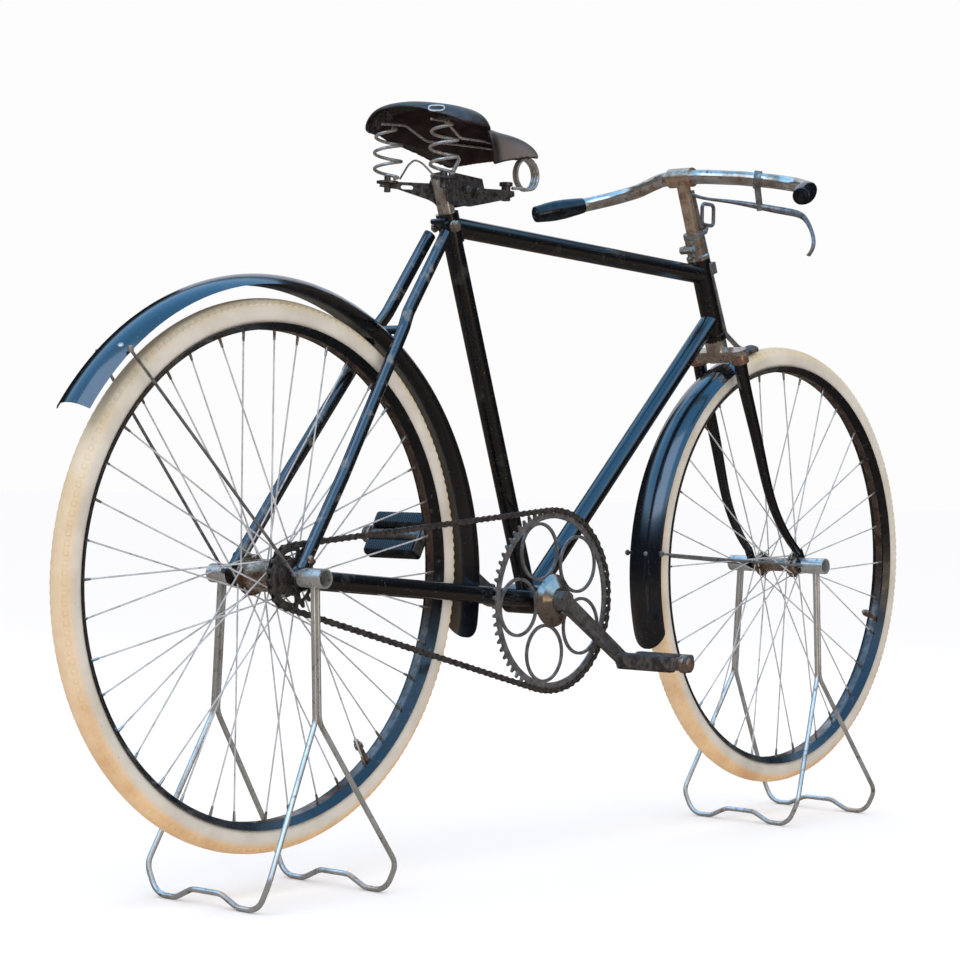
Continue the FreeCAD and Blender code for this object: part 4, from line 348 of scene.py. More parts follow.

# %% [markdown]
# Saddle hide: thick harness leather, wetted and moulded, then blacked and polished by use. Its top
# is dark brown and shines where it is rubbed, and its flesh side is a dull red brown. The piece
# carries a number that is 1 on the flesh side. The flanks of the nose are a lighter grey, and the
# material finds them by how far ahead they lie and how steeply they stand. The grain is a Voronoi
# pattern of about a millimetre, drawn a little coarser than real so that it shows.

# %% Saddle hide
GRAIN_MM = 1.3
NECK_SHARE = 0.6
NECK_EDGE_MM = (-4, 16)
FLANK_SLOPE = (0.9, 0.25)
saddle_hide, tree, shader, place = new_material("harness_leather_blacked")
flesh = add_node(tree, "ShaderNodeAttribute", {"attribute_name": "flesh"}).outputs["Fac"]
polished = patches(tree, place, 45, 0.4, 0.68, 5)
hide_low, hide_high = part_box("saddle_leather")
neck = hide_low.x + NECK_SHARE * (hide_high.x - hide_low.x)
ahead = between(tree, axis_of(tree, place, "X"), neck + NECK_EDGE_MM[0] * MM, neck + NECK_EDGE_MM[1] * MM)
hide_normal = add_node(tree, "ShaderNodeNewGeometry").outputs["Normal"]
upright_side = between(tree, axis_of(tree, hide_normal, "Z"), *FLANK_SLOPE)
nose_flank = joined(tree, "MULTIPLY", ahead, upright_side)
outside_colour = mixed(tree, nose_flank, mixed(tree, polished, "#231f1d", "#3f3834"), "#685f59")
outside_colour = mixed(tree, patches(tree, place, 7, 0.64, 0.74, 5), outside_colour, "#5d534c")
flesh_colour = mixed(tree, patches(tree, place, 15, 0.4, 0.65, 6), "#24110f", "#3a1e19")
tree.links.new(mixed(tree, flesh, outside_colour, flesh_colour), shader.inputs["Base Color"])
hide_rough = joined(tree, "ADD", ranged(tree, polished, 0.27, 0.42), ranged(tree, flesh, 0, 0.3), clamp=True)
tree.links.new(hide_rough, shader.inputs["Roughness"])
shader.inputs["IOR"].default_value = 1.58
grain = add_node(tree, "ShaderNodeTexVoronoi", {"Scale": 1 / (GRAIN_MM * MM), "feature": "DISTANCE_TO_EDGE"},
                 {"Vector": place})
bumped(tree, shader, between(tree, grain.outputs["Distance"], 0, 0.25), 0.12, 0.6)
print("materials:", len(bpy.data.materials))

# %% [markdown]
# Each solid that keeps its own shape gets its finish through its material slots, because the mesh
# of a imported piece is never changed. A table of finish and pieces is easier to read and to change
# than a line for each one.

# %% Finishes of the pieces that keep their shape
FINISHES = [
    (frame_enamel, ["head_tube", "top_tube", "down_tube", "seat_tube", "bottom_bracket_shell", "seat_lug",
                    "left_chain_stay", "right_chain_stay", "stay_bridges", "left_fork_blade",
                    "right_fork_blade"]),
    (stay_enamel, ["left_seat_stay", "right_seat_stay"]),
    (guard_enamel, ["rear_mudguard", "front_mudguard"]),
    (rim_enamel, ["rear_rim", "front_rim"]),
    (bar_nickel, ["handlebar", "seat_post"]),
    (stem_nickel, ["stem"]),
    (aged_nickel, ["head_collar", "fork_crown"]),
    (hub_nickel, ["rear_hub", "front_hub", "rear_axle", "front_axle", "rear_valve", "front_valve"]),
    (boss_nickel, ["chainring_boss"]),
    (worn_steel, ["brake_rod", "brake_lever", "lamp_bracket", "chainring", "rear_guard_stays",
                  "front_guard_stays"]),
    (saddle_steel, ["saddle_frame", "saddle_cantle"]),
    (spring_steel, ["saddle_springs", "saddle_wires"]),
    (dark_steel, ["right_crank", "left_crank", "crank_axle", "right_pedal_cage", "left_pedal_cage"]),
    (oiled_steel, ["rear_sprocket"]),
    (bright_wire, ["rear_stand", "front_stand"]),
    (spoke_wire, ["rear_spokes", "front_spokes"]),
    (grip_rubber, ["left_grip", "right_grip"]),
    (pedal_rubber, ["brake_shoe"]),
]
finished = set()
for material, names in FINISHES:
    for name in names:
        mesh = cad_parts[name].data
        mesh.materials.clear()
        mesh.materials.append(material)
        finished.add(name)
print("finished", len(finished), "of", len(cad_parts))

# %% [markdown]
# From here on, pieces are modelled. A bmesh starts from a simple shape and is spun, extruded, inset
# or bevelled. When it is done, one function turns it into an object that stands at the origin, as
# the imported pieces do, gives it its finish and says which body it rides on. The others do what many
# pieces need: they stamp copies, take in a smaller bmesh, spin an outline, cut, and round edges off.

# %% Helpers for new pieces
def corners_of(name):
    """The lowest and highest corner, and the middle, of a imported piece."""
    low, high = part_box(name)
    return low, high, (low + high) / 2


def as_mesh(name, shape):
    """Turns a bmesh into a mesh and frees it."""
    mesh = bpy.data.meshes.new(name)
    shape.to_mesh(mesh)
    shape.free()
    return mesh


def finish_piece(name, shape, material, body, stands_for=(), smooth_angle=40):
    """Turns a bmesh into a piece that rides on a body, in its finish."""
    shape.normal_update()
    mesh = as_mesh(name, shape)
    piece = placed(name, mesh)
    mesh.materials.append(material)
    mesh.shade_smooth()
    mesh.set_sharp_from_angle(angle=math.radians(smooth_angle))
    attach(piece, body)
    if stands_for:
        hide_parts(*stands_for)
    print(name, "has", len(mesh.polygons), "faces")


def stamp(shape, pattern, places):
    """Adds a copy of a small pattern mesh at each place, given as a matrix."""
    for place in places:
        known = len(shape.verts)
        shape.from_mesh(pattern)
        shape.verts.ensure_lookup_table()
        bmesh.ops.transform(shape, matrix=place, verts=shape.verts[known:])


def take_in(shape, part):
    """Moves all of a smaller bmesh into a larger one."""
    mesh = as_mesh("part", part)
    shape.from_mesh(mesh)
    bpy.data.meshes.remove(mesh)


def spin_outline(shape, spots, centre, axis, steps):
    """Joins a row of points and spins it once round an axis."""
    edges = [shape.edges.new(pair) for pair in zip(spots, spots[1:])]
    bmesh.ops.spin(shape, geom=spots + edges, cent=centre, axis=axis, angle=2 * math.pi, steps=steps,
                   use_merge=True, use_duplicate=False)
    bmesh.ops.remove_doubles(shape, verts=shape.verts, dist=SAME_PLACE)
    bmesh.ops.recalc_face_normals(shape, faces=shape.faces)


def cut(shape, place, direction):
    """Cuts every face of a bmesh that crosses a plane."""
    bmesh.ops.bisect_plane(shape, geom=shape.verts[:] + shape.edges[:] + shape.faces[:], plane_co=place,
                           plane_no=direction)


def round_off(shape, edges, radius, segments):
    """Rounds edges off with a bevel."""
    bmesh.ops.bevel(shape, geom=edges, offset=radius, offset_type="OFFSET", segments=segments, profile=0.5,
                    affect="EDGES", material=-1)


def edges_across(shape, least):
    """The edges that run further than a length from left to right."""
    return [edge for edge in shape.edges if abs(edge.verts[0].co.y - edge.verts[1].co.y) > least]


# %% [markdown]
# Tyres. A real tread is moulded with a row of small raised blocks on each shoulder and is worn
# smooth between them. A texture could only paint them, and they show on the outline, so they are
# modelled. The section is drawn as a short chain of points and spun round the axle, and every second
# face of the two rows is inset and raised.

# %% Tyres
BLOCK_PITCH_MM = 12
BLOCK_HEIGHT_MM = 0.9
BLOCK_EDGE_MM = 0.7
BLOCK_ROW = (36, 55)
SHOULDER_FROM = 34
CROWN_SINK = 0.3
SECTION = (11, 22, 32, 36, 55, 62, 72, 88, 105, 120, 135, 150)


def tyre(name, node, body):
    """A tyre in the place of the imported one. Angles run round its section, in degrees from the crown."""
    low, high, centre = corners_of(node)
    section = (high.y - low.y) / 2
    ring = (high.z - low.z) / 2 - section
    blocks = int(2 * math.pi * (ring + section) / (BLOCK_PITCH_MM * MM))
    shape = bmesh.new()
    crown_layer = shape.verts.layers.float.new("crown")
    spots = []
    for angle in [-angle for angle in reversed(SECTION)] + [0] + list(SECTION):
        reach = section - BLOCK_HEIGHT_MM * MM * (1 if abs(angle) > SHOULDER_FROM else CROWN_SINK)
        turn = math.radians(angle)
        vertex = shape.verts.new(centre + Vector((ring + reach * math.cos(turn), reach * math.sin(turn), 0)))
        vertex[crown_layer] = 1 - abs(angle) / SECTION[-1]
        spots.append(vertex)
    spin_outline(shape, spots, centre, (0, 1, 0), blocks * 2)
    step = math.pi / blocks
    raised = []
    for face in shape.faces:
        spot = face.calc_center_median() - centre
        lean = math.degrees(math.atan2(spot.y, math.hypot(spot.x, spot.z) - ring))
        column = int((math.atan2(spot.z, spot.x) % (2 * math.pi)) / step)
        if BLOCK_ROW[0] < abs(lean) < BLOCK_ROW[1] and column % 2 == 0:
            raised.append(face)
    bmesh.ops.inset_individual(shape, faces=raised, thickness=BLOCK_EDGE_MM * MM, depth=BLOCK_HEIGHT_MM * MM)
    finish_piece(name, shape, tyre_rubber, body, [node], 35)


tyre("rear_tyre_cream", "rear_tyre", "rear_wheel")
tyre("front_tyre_cream", "front_tyre", "front_wheel")

# %% [markdown]
# Chain. It is made of 12.7 mm links that are wide and narrow by turns, on rollers. The path runs
# round both pitch circles, which follow from the teeth and the pitch, and along the two tangents.
# A curve modifier could bend a row of links along it, but its links would stretch, so each link is
# stamped with its own matrix between two pin places.

# %% Chain
PITCH = 12.7 * MM
CHAINRING_TEETH = 64
SPROCKET_TEETH = 20
PLATE_MM = 0.9
INNER_LINK_MM = (2.6, 8)
OUTER_LINK_MM = (3.6, 8.2)
ROLLER_MM = (3.5, 2.6)
PIN_MM = (1.6, 4.9)
LINK_END = 0.46
LINK_WAIST = 0.72


def pitch_radius(teeth):
    """The radius of the circle that the chain's pins follow round a number of teeth."""
    return PITCH / 2 / math.sin(math.pi / teeth)


big = pitch_radius(CHAINRING_TEETH)
small = pitch_radius(SPROCKET_TEETH)
ring_centre, sprocket_centre, chain_centre = [
    corners_of(node)[2] for node in ("chainring", "rear_sprocket", "chain")]
ring_at = Vector((ring_centre.x, chain_centre.y, ring_centre.z))
sprocket_at = Vector((sprocket_centre.x, chain_centre.y, sprocket_centre.z))
run = ring_at - sprocket_at
slope = math.atan2(run.z, run.x)
spread = math.acos((small - big) / run.length)
straight = math.sqrt(run.length ** 2 - (big - small) ** 2)
front_arc = big * 2 * spread
rear_arc = small * (2 * math.pi - 2 * spread)
chain_length = 2 * straight + front_arc + rear_arc


def on_circle(centre, radius, angle):
    """A point of a circle in the chain's plane."""
    return centre + Vector((math.cos(angle), 0, math.sin(angle))) * radius


def chain_spot(along):
    """The place at a distance along the chain, from the front end of the top run."""
    along %= chain_length
    if along < front_arc:
        return on_circle(ring_at, big, slope + spread - along / big)
    along -= front_arc
    if along < straight:
        start, end = on_circle(ring_at, big, slope - spread), on_circle(sprocket_at, small, slope - spread)
        return start.lerp(end, along / straight)
    along -= straight
    if along < rear_arc:
        return on_circle(sprocket_at, small, slope - spread - along / small)
    along -= rear_arc
    start, end = on_circle(sprocket_at, small, slope + spread), on_circle(ring_at, big, slope + spread)
    return start.lerp(end, along / straight)


def link_pattern(half_gap, plate, height):
    """Two waisted plates with round ends, side by side, over one pitch."""
    shape = bmesh.new()
    for side in (-1, 1):
        half = bmesh.new()
        bmesh.ops.create_cube(half, size=1)
        bmesh.ops.scale(half, vec=(PITCH + height, plate, height), verts=half.verts)
        round_off(half, edges_across(half, plate / 2), height * LINK_END, 3)
        cut(half, (0, 0, 0), (1, 0, 0))
        for vertex in half.verts:
            if abs(vertex.co.x) < SAME_PLACE:
                vertex.co.z *= LINK_WAIST
        bmesh.ops.translate(half, vec=(0, side * (half_gap + plate / 2), 0), verts=half.verts)
        take_in(shape, half)
    return as_mesh("link", shape)


def roller_pattern(radius, half_width, pin_radius, pin_half):
    """A roller with its pin, across the chain."""
    shape = bmesh.new()
    for size, half in ((radius, half_width), (pin_radius, pin_half)):
        bmesh.ops.create_cone(shape, cap_ends=True, segments=12, radius1=size, radius2=size, depth=2 * half,
                              matrix=Matrix.Rotation(math.pi / 2, 4, "X"))
    return as_mesh("roller", shape)


def chain():
    """The whole loop: narrow and wide links by turns, and a roller on each pin."""
    links = round(chain_length / PITCH / 2) * 2
    inner = link_pattern(INNER_LINK_MM[0] * MM, PLATE_MM * MM, INNER_LINK_MM[1] * MM)
    outer = link_pattern(OUTER_LINK_MM[0] * MM, PLATE_MM * MM, OUTER_LINK_MM[1] * MM)
    roller = roller_pattern(ROLLER_MM[0] * MM, ROLLER_MM[1] * MM, PIN_MM[0] * MM, PIN_MM[1] * MM)
    pins = [chain_spot(chain_length * index / links) for index in range(links)]
    shape = bmesh.new()
    wide, narrow, rollers = [], [], []
    for index, start in enumerate(pins):
        end = pins[(index + 1) % links]
        turn = math.atan2((end - start).z, (end - start).x)
        place = Matrix.Translation((start + end) / 2) @ Matrix.Rotation(-turn, 4, "Y")
        (wide if index % 2 else narrow).append(place)
        rollers.append(Matrix.Translation(start))
    for pattern, places in ((outer, wide), (inner, narrow), (roller, rollers)):
        stamp(shape, pattern, places)
    print("chain of", links, "links")
    finish_piece("chain_of_links", shape, oiled_steel, "frame", ["chain"], 35)


chain()

# %% [markdown]
# Spoke nipples. Each spoke ends in a long brass nipple at the rim. Where the spokes are can be read
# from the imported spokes: every spoke is an island of its mesh. A copy of the mesh is merged, its
# islands are walked, and the point of each that lies furthest from the axle is the rim's end. A set
# of vertices has no order of its own, so islands and points are taken by index, and every run adds
# them up alike.

# %% Spoke nipples
NIPPLE_LENGTH_MM = 13
NIPPLE_RADIUS_MM = 2.2
NIPPLE_TAPER = 0.72
SPOKE_END_MM = 3


def islands(node):
    """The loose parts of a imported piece, each as a list of points."""
    shape = bmesh.new()
    shape.from_mesh(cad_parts[node].data)
    bmesh.ops.remove_doubles(shape, verts=shape.verts, dist=SAME_PLACE)
    shape.verts.index_update()
    waiting = set(shape.verts)
    found = []
    for first in shape.verts:
        if first not in waiting:
            continue
        waiting.remove(first)
        group = [first]
        for vertex in group:
            for edge in vertex.link_edges:
                other = edge.other_vert(vertex)
                if other in waiting:
                    waiting.remove(other)
                    group.append(other)
        group.sort(key=lambda vertex: vertex.index)
        found.append([vertex.co.copy() for vertex in group])
    shape.free()
    return found


def nipples(name, node, rim, body):
    """A nipple on the outer end of every spoke of a wheel."""
    centre = corners_of(rim)[2]

    def reach(point):
        """How far a point is from the axle."""
        return math.hypot(point.x - centre.x, point.z - centre.z)

    cone = bmesh.new()
    bmesh.ops.create_cone(cone, cap_ends=True, segments=10, radius1=NIPPLE_RADIUS_MM * MM,
                          radius2=NIPPLE_RADIUS_MM * NIPPLE_TAPER * MM, depth=NIPPLE_LENGTH_MM * MM)
    pattern = as_mesh("nipple", cone)
    places = []
    for points in islands(node):
        edge = max(reach(point) for point in points)
        root = min(reach(point) for point in points)
        outer = [point for point in points if reach(point) > edge - SPOKE_END_MM * MM]
        inner = [point for point in points if reach(point) < root + SPOKE_END_MM * MM]
        top = sum(outer, Vector()) / len(outer)
        foot = sum(inner, Vector()) / len(inner)
        inward = (foot - top).normalized()
        middle = top + inward * (NIPPLE_LENGTH_MM / 2) * MM
        places.append(Matrix.Translation(middle) @ inward.to_track_quat("Z", "Y").to_matrix().to_4x4())
    shape = bmesh.new()
    stamp(shape, pattern, places)
    print(name, "on", len(places), "spokes")
    finish_piece(name, shape, aged_nickel, body)


nipples("rear_nipples", "rear_spokes", "rear_rim", "rear_wheel")
nipples("front_nipples", "front_spokes", "front_rim", "front_wheel")

# %% [markdown]
# Saddle hide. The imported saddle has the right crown, nose and cut edge, but its edges are sharp and
# its skin is flawless. A copy of its mesh is merged, and then closely remeshed so that it can bend:
# the cut edges round off, the seat dips where it was sat on, and shallow creases cross its neck.

# %% Saddle hide
HIDE_VOXEL_MM = 1.7
SEAT_DIP_MM = 2.2
CREASE_MM = 0.35
CREASE_WAVES = 260


def hill(value, middle, width):
    """A smooth hill, 1 at its middle and next to nothing two widths away."""
    return math.exp(-((value - middle) / width) ** 2)


def hide():
    """The saddle's leather, with soft edges, a dip where it is sat on, and creases."""
    low, high, centre = corners_of("saddle_leather")
    shape = bmesh.new()
    shape.from_mesh(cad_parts["saddle_leather"].data)
    bmesh.ops.remove_doubles(shape, verts=shape.verts, dist=SAME_PLACE)
    start = placed("hide_start", as_mesh("hide_start", shape))
    remesh = start.modifiers.new("even", "REMESH")
    remesh.mode = "VOXEL"
    remesh.voxel_size = HIDE_VOXEL_MM * MM
    soften = start.modifiers.new("soften", "SMOOTH")
    soften.iterations = 4
    soften.factor = 0.5
    even = bpy.data.meshes.new_from_object(start.evaluated_get(bpy.context.evaluated_depsgraph_get()))
    bpy.data.objects.remove(start)
    shape = bmesh.new()
    shape.from_mesh(even)
    shape.normal_update()
    flesh_layer = shape.verts.layers.float.new("flesh")
    for vertex in shape.verts:
        vertex[flesh_layer] = 1.0 if vertex.normal.z < -0.05 else 0.0
        ahead = (vertex.co.x - low.x) / (high.x - low.x)
        aside = (vertex.co.y - centre.y) / (high.y - low.y) * 2
        dip = hill(ahead, 0.27, 0.16) * hill(abs(aside), 0.42, 0.3)
        crease = hill(ahead, 0.52, 0.05) * math.sin(ahead * CREASE_WAVES) * CREASE_MM
        vertex.co.z -= (SEAT_DIP_MM * dip - crease) * MM
    finish_piece("saddle_hide", shape, saddle_hide, "frame", ["saddle_leather"], 60)


hide()

# %% [markdown]
# Pedal rubbers. Each pedal carries two square blocks of rubber with moulded ribs on all four sides.
# A cube is scaled to the solid's own box, cut across by evenly spaced planes, and every second ring
# of faces is sunk. Bevels then take the sharpness off its long edges.

# %% Pedal rubbers
RIB_PITCH_MM = 4.2
RIB_DEPTH_MM = 0.7
RIB_EDGE_MM = 0.4
BLOCK_ROUNDING_MM = 7
LONG_EDGE_MM = 10


def box_of(points):
    """The lowest and highest corner of the box round some points."""
    low = Vector([min(point[axis] for point in points) for axis in range(3)])
    high = Vector([max(point[axis] for point in points) for axis in range(3)])
    return low, high


def pedal_rubbers(name, node, body, material):
    """Ribbed blocks in the place of a pedal's plain ones, at the tilt where each is narrowest."""
    shape = bmesh.new()
    for points in islands(node):
        low, high = box_of(points)
        centre = (low + high) / 2
        width = high.y - low.y
        end_face = [point for point in points if abs(point.y - low.y) < 1 * MM]

        def reach_at(turn):
            """How far the block reaches in a direction, in degrees."""
            return max((point.x - centre.x) * math.cos(math.radians(turn))
                       + (point.z - centre.z) * math.sin(math.radians(turn)) for point in end_face)

        tilt = min((turn / 2 for turn in range(180)), key=reach_at)
        half = reach_at(tilt)
        block = bmesh.new()
        bmesh.ops.create_cube(block, size=1)
        bmesh.ops.scale(block, vec=(2 * half, width, 2 * half), verts=block.verts)
        round_off(block, edges_across(block, LONG_EDGE_MM * MM), BLOCK_ROUNDING_MM * MM, 4)
        rings = 2 * int(width / (RIB_PITCH_MM * MM))
        for index in range(1, rings):
            cut(block, (0, -width / 2 + width * index / rings, 0), (0, 1, 0))
        sunk = []
        for face in block.faces:
            if abs(face.normal.y) > 0.5:
                continue
            column = int((face.calc_center_median().y + width / 2) / width * rings)
            if column % 2 == 1 and column < rings - 1:
                sunk.append(face)
        bmesh.ops.inset_region(block, faces=sunk, thickness=RIB_EDGE_MM * MM, depth=-RIB_DEPTH_MM * MM,
                               use_even_offset=True)
        bmesh.ops.rotate(block, cent=(0, 0, 0), matrix=Matrix.Rotation(-math.radians(tilt), 3, "Y"),
                         verts=block.verts)
        bmesh.ops.translate(block, vec=centre, verts=block.verts)
        take_in(shape, block)
    finish_piece(name, shape, material, body, [node])


pedal_rubbers("right_pedal_rubbers", "right_pedal_blocks", "right_pedal", pedal_rubber)
pedal_rubbers("left_pedal_rubbers", "left_pedal_blocks", "left_pedal", smooth_rubber)

# %% [markdown]
# Small fittings. Bolts, nuts, rivets, caps and ferrules are all turned pieces or six-sided ones. One
# function spins an outline of radius and height into such a piece, and another makes a hexagon with
# a worn edge. A table then says which goes where and which way it points, so that ten pieces need no
# ten pieces of code. Each is stamped on the surface that it really sits on.

# %% Turned and six-sided fittings
HEAD_EDGE_MM = 0.6


def lathe(outline, segments=24):
    """A turned fitting, from its outline of radius and height in millimetres."""
    shape = bmesh.new()
    spots = [shape.verts.new((radius * MM, 0, height * MM)) for radius, height in outline]
    spin_outline(shape, spots, (0, 0, 0), (0, 0, 1), segments)
    return as_mesh("turned", shape)


def hexagon(radius, height):
    """A six-sided head with its edges worn round."""
    shape = bmesh.new()
    bmesh.ops.create_cone(shape, cap_ends=True, segments=6, radius1=radius * MM, radius2=radius * MM,
                          depth=height * MM, matrix=Matrix.Translation((0, 0, height / 2 * MM)))
    round_off(shape, shape.edges[:], HEAD_EDGE_MM * MM, 2)
    return as_mesh("hexagon", shape)


def aimed(place_mm, direction, scale=(1, 1, 1)):
    """The matrix that puts a fitting at a place with its axis along a direction."""
    turn = Vector(direction).to_track_quat("Z", "Y").to_matrix().to_4x4()
    return Matrix.Translation(Vector(place_mm) * MM) @ turn @ Matrix.Diagonal((*scale, 1))


def fittings(name, material, body, pieces):
    """One object of small fittings, given as pairs of a pattern and its matrix."""
    shape = bmesh.new()
    for pattern, place in pieces:
        stamp(shape, pattern, [place])
    finish_piece(name, shape, material, body)


def both_sides(pattern, place_mm, direction):
    """A fitting and its mirror twin on the other side of the bicycle."""
    x, y, z = place_mm
    across = (direction[0], -direction[1], direction[2])
    return [(pattern, aimed(place_mm, direction)), (pattern, aimed((x, -y, z), across))]


domed_head = lathe([(0, 3.4), (2.2, 3.1), (4.2, 2.0), (5.2, 0.6), (5.4, -0.8), (0, -0.8)])
rivet_head = lathe([(0, 1.5), (1.6, 1.3), (2.8, 0.6), (3.1, -0.4), (0, -0.4)], 16)
small_nut = hexagon(5.6, 4.4)
guard_nut = hexagon(4.6, 4.0)
large_nut = hexagon(8.2, 5.5)
washer = lathe([(0, 1.2), (9.2, 1.2), (9.8, 0.6), (9.8, -0.4), (0, -0.4)])
valve_cap = lathe([(0, 15), (2.6, 14.6), (3.6, 13.4), (3.8, 8), (5.6, 7.6), (5.9, 6.8), (5.9, 0.6), (5.4, 0),
                   (0, 0)])
dust_dome = lathe([(0, 3.4), (3.6, 3.0), (7.6, 1.4), (10.8, -1.4), (12.8, -4.6), (13.4, -5.4), (13.4, -12.2),
                   (12.8, -12.9), (0, -12.9)], 32)
grip_rings = lathe([(0, 1.0), (3.2, 1.0), (3.8, 0.3), (5.8, 0.3), (6.4, 1.4), (8.6, 1.4), (9.2, 0.3),
                    (11.0, 0.3), (11.6, 1.0), (12.6, 0.4), (12.8, -1.0), (0, -1.0)], 32)
print("patterns ready")

# %% [markdown]
# Fittings of the frame. They are the bright hexagon of the seat bolt, the pinch bolts of the saddle
# clamp, the copper domes at the feet of the seat stays, and at the rear mudguard one bolt through
# its right edge and a rivet on the flank beside it. Places are in millimetres, and the outward
# direction of each fitting follows its place.

# %% Fittings of the frame
RIGHT, LEFT = (0, -1, 0), (0, 1, 0)
SEAT_BOLT_X, SEAT_BOLT_Z = -256.5, 888.5
CLAMP_BOLTS = ((-235.2, -19.2, 941.3), (-213.2, -19.2, 941.3))
STAY_FOOT_MM = 26
copper_domes = []
for side, name in ((-1, "right_seat_stay"), (1, "left_seat_stay")):
    low = corners_of(name)[0]
    foot = [vertex.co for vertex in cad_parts[name].data.vertices
            if vertex.co.z < low.z + STAY_FOOT_MM * MM]
    foot_low, foot_high = [Vector(pick(point[axis] for point in foot) for axis in range(3))
                           for pick in (min, max)]
    middle = (foot_low + foot_high) / 2 / MM
    middle.y = (foot_high.y if side > 0 else foot_low.y) / MM
    copper_domes.append((domed_head, aimed(middle, (0, side, 0), (1.1, 1.1, 0.9))))
fittings("stay_ferrules", copper_brass, "frame", copper_domes)
fittings("seat_bolt", aged_nickel, "frame", [
    (washer, aimed((SEAT_BOLT_X, -16.2, SEAT_BOLT_Z), RIGHT, (0.9, 0.9, 1))),
    (large_nut, aimed((SEAT_BOLT_X, -17.0, SEAT_BOLT_Z), RIGHT)),
    (large_nut, aimed((SEAT_BOLT_X, 17.0, SEAT_BOLT_Z), LEFT, (0.85, 0.85, 0.8)))])
fittings("clamp_nuts", saddle_steel, "frame",
         [nut for place in CLAMP_BOLTS for nut in both_sides(small_nut, place, RIGHT)])
fittings("rear_guard_bolts", spring_steel, "frame", [
    (guard_nut, aimed((-859.5, -30.2, 687.6), RIGHT)),
    (rivet_head, aimed((-862.8, -18, 692.1), (-0.589, -0.46, 0.665), (1.3, 1.3, 1.4)))])

# %% [markdown]
# Fittings that ride on the other bodies: bolts on both sides of the front mudguard and a rivet on
# it, caps on the valves, domed dust caps over the pedals' ends, cotter pins through the cranks, and
# the moulded rings in the grips' ends. A fitting has to ride on the body of the piece it is fixed
# to, or it would stay behind when that piece moves.

# %% Fittings of the moving bodies
AXLE_X, AXLE_Z = 589, 411.4
CRANK_X, CRANK_Z = -60, 369.4
VALVE_REACH = 294
COTTER_SIDE, COTTER_ALONG = 66.5, 8.8
COTTER_HEAD, COTTER_NUT = 14.5, 13.2
fittings("front_guard_bolts", worn_steel, "steering",
         both_sides(guard_nut, (220.5, -30.2, 433), RIGHT)
         + [(rivet_head, aimed((211.6, -9, 432.5), (-0.97, -0.23, 0.06), (1.2, 1.2, 1.2)))])
for name, body, axle_x, turn in (("rear_valve_cap", "rear_wheel", -AXLE_X, -52.5),
                                 ("front_valve_cap", "front_wheel", AXLE_X, -17.5)):
    outward = Vector((math.cos(math.radians(turn)), 0, math.sin(math.radians(turn))))
    place = Vector((axle_x, 0, AXLE_Z)) + outward * VALVE_REACH
    fittings(name, hub_nickel, body, [(valve_cap, aimed(place, -outward))])
for name, body, side, cage in (("right_dust_cap", "right_pedal", -1, "right_pedal_cage"),
                               ("left_dust_cap", "left_pedal", 1, "left_pedal_cage")):
    low, high, centre = corners_of(cage)
    place = Vector((centre.x, high.y if side > 0 else low.y, centre.z)) / MM
    fittings(name, copper_brass, body, [(dust_dome, aimed(place, (0, side, 0)))])
for name, side in (("right_grip_rings", -1), ("left_grip_rings", 1)):
    place = (250.7, side * 251.3, 966.9)
    fittings(name, grip_rubber, "steering",
             [(grip_rings, aimed(place, (-0.881, side * 0.413, -0.228)))])
cotter = lathe([(0, 0), (4.2, 0), (4.5, 1), (4.5, 29), (4.0, 30), (0, 30)], 16)
cotters = []
for side, turn in ((-1, -32), (1, 148)):
    along = Vector((math.cos(math.radians(turn)), 0, math.sin(math.radians(turn))))
    across = Vector((-along.z, 0, along.x)) * -side
    middle = Vector((CRANK_X, side * COTTER_SIDE, CRANK_Z)) + along * COTTER_ALONG
    cotters.append((cotter, aimed(middle - across * COTTER_HEAD, across)))
    cotters.append((small_nut, aimed(middle - across * COTTER_NUT, -across, (0.9, 0.9, 1))))
fittings("cotter_pins", dark_steel, "crankset", cotters)

# %% [markdown]
# Bands of the fork crown. The crown's plating has worn down to its copper round the two sockets that
# the blades are brazed into. A turned band is scaled to the socket and leans with the head.

# %% Fork crown bands
HEAD_LEAN = math.radians(21.9)
FORK_OFFSET = 44.6
SOCKET_UP, SOCKET_SIDE, SOCKET_RADIUS = 371.4, 39, 13.9
steering_up = Vector((-math.sin(HEAD_LEAN), 0, math.cos(HEAD_LEAN)))
steering_foot = Vector((AXLE_X - FORK_OFFSET * math.cos(HEAD_LEAN), 0,
                        AXLE_Z - FORK_OFFSET * math.sin(HEAD_LEAN)))
band_ring = lathe([(0, -8), (0.97, -8), (1, -7.6), (1, 7.2), (0.98, 7.7), (0, 7.7)], 40)
lean = Matrix.Rotation(-HEAD_LEAN, 4, "Y")
widen = Matrix.Diagonal((SOCKET_RADIUS, SOCKET_RADIUS, 1, 1))
bands = []
for side in (-1, 1):
    place = steering_foot + steering_up * SOCKET_UP + Vector((0, side * SOCKET_SIDE, 0))
    bands.append((band_ring, Matrix.Translation(place * MM) @ lean @ widen))
fittings("crown_bands", copper_brass, "steering", bands)

# %% [markdown]
# Saddle plate. A small oval frame of bright metal is sewn to the back of the seat on its right. A
# filled circle is scaled to an oval, inset, opened in the middle and given a thickness.

# %% Saddle plate
PLATE_HALF_MM = (11.5, 5.6)
PLATE_SQUARENESS = 0.7
PLATE_AT_MM = (-348.6, -60.4, 1036.8)
PLATE_LIFT_MM = 0.4


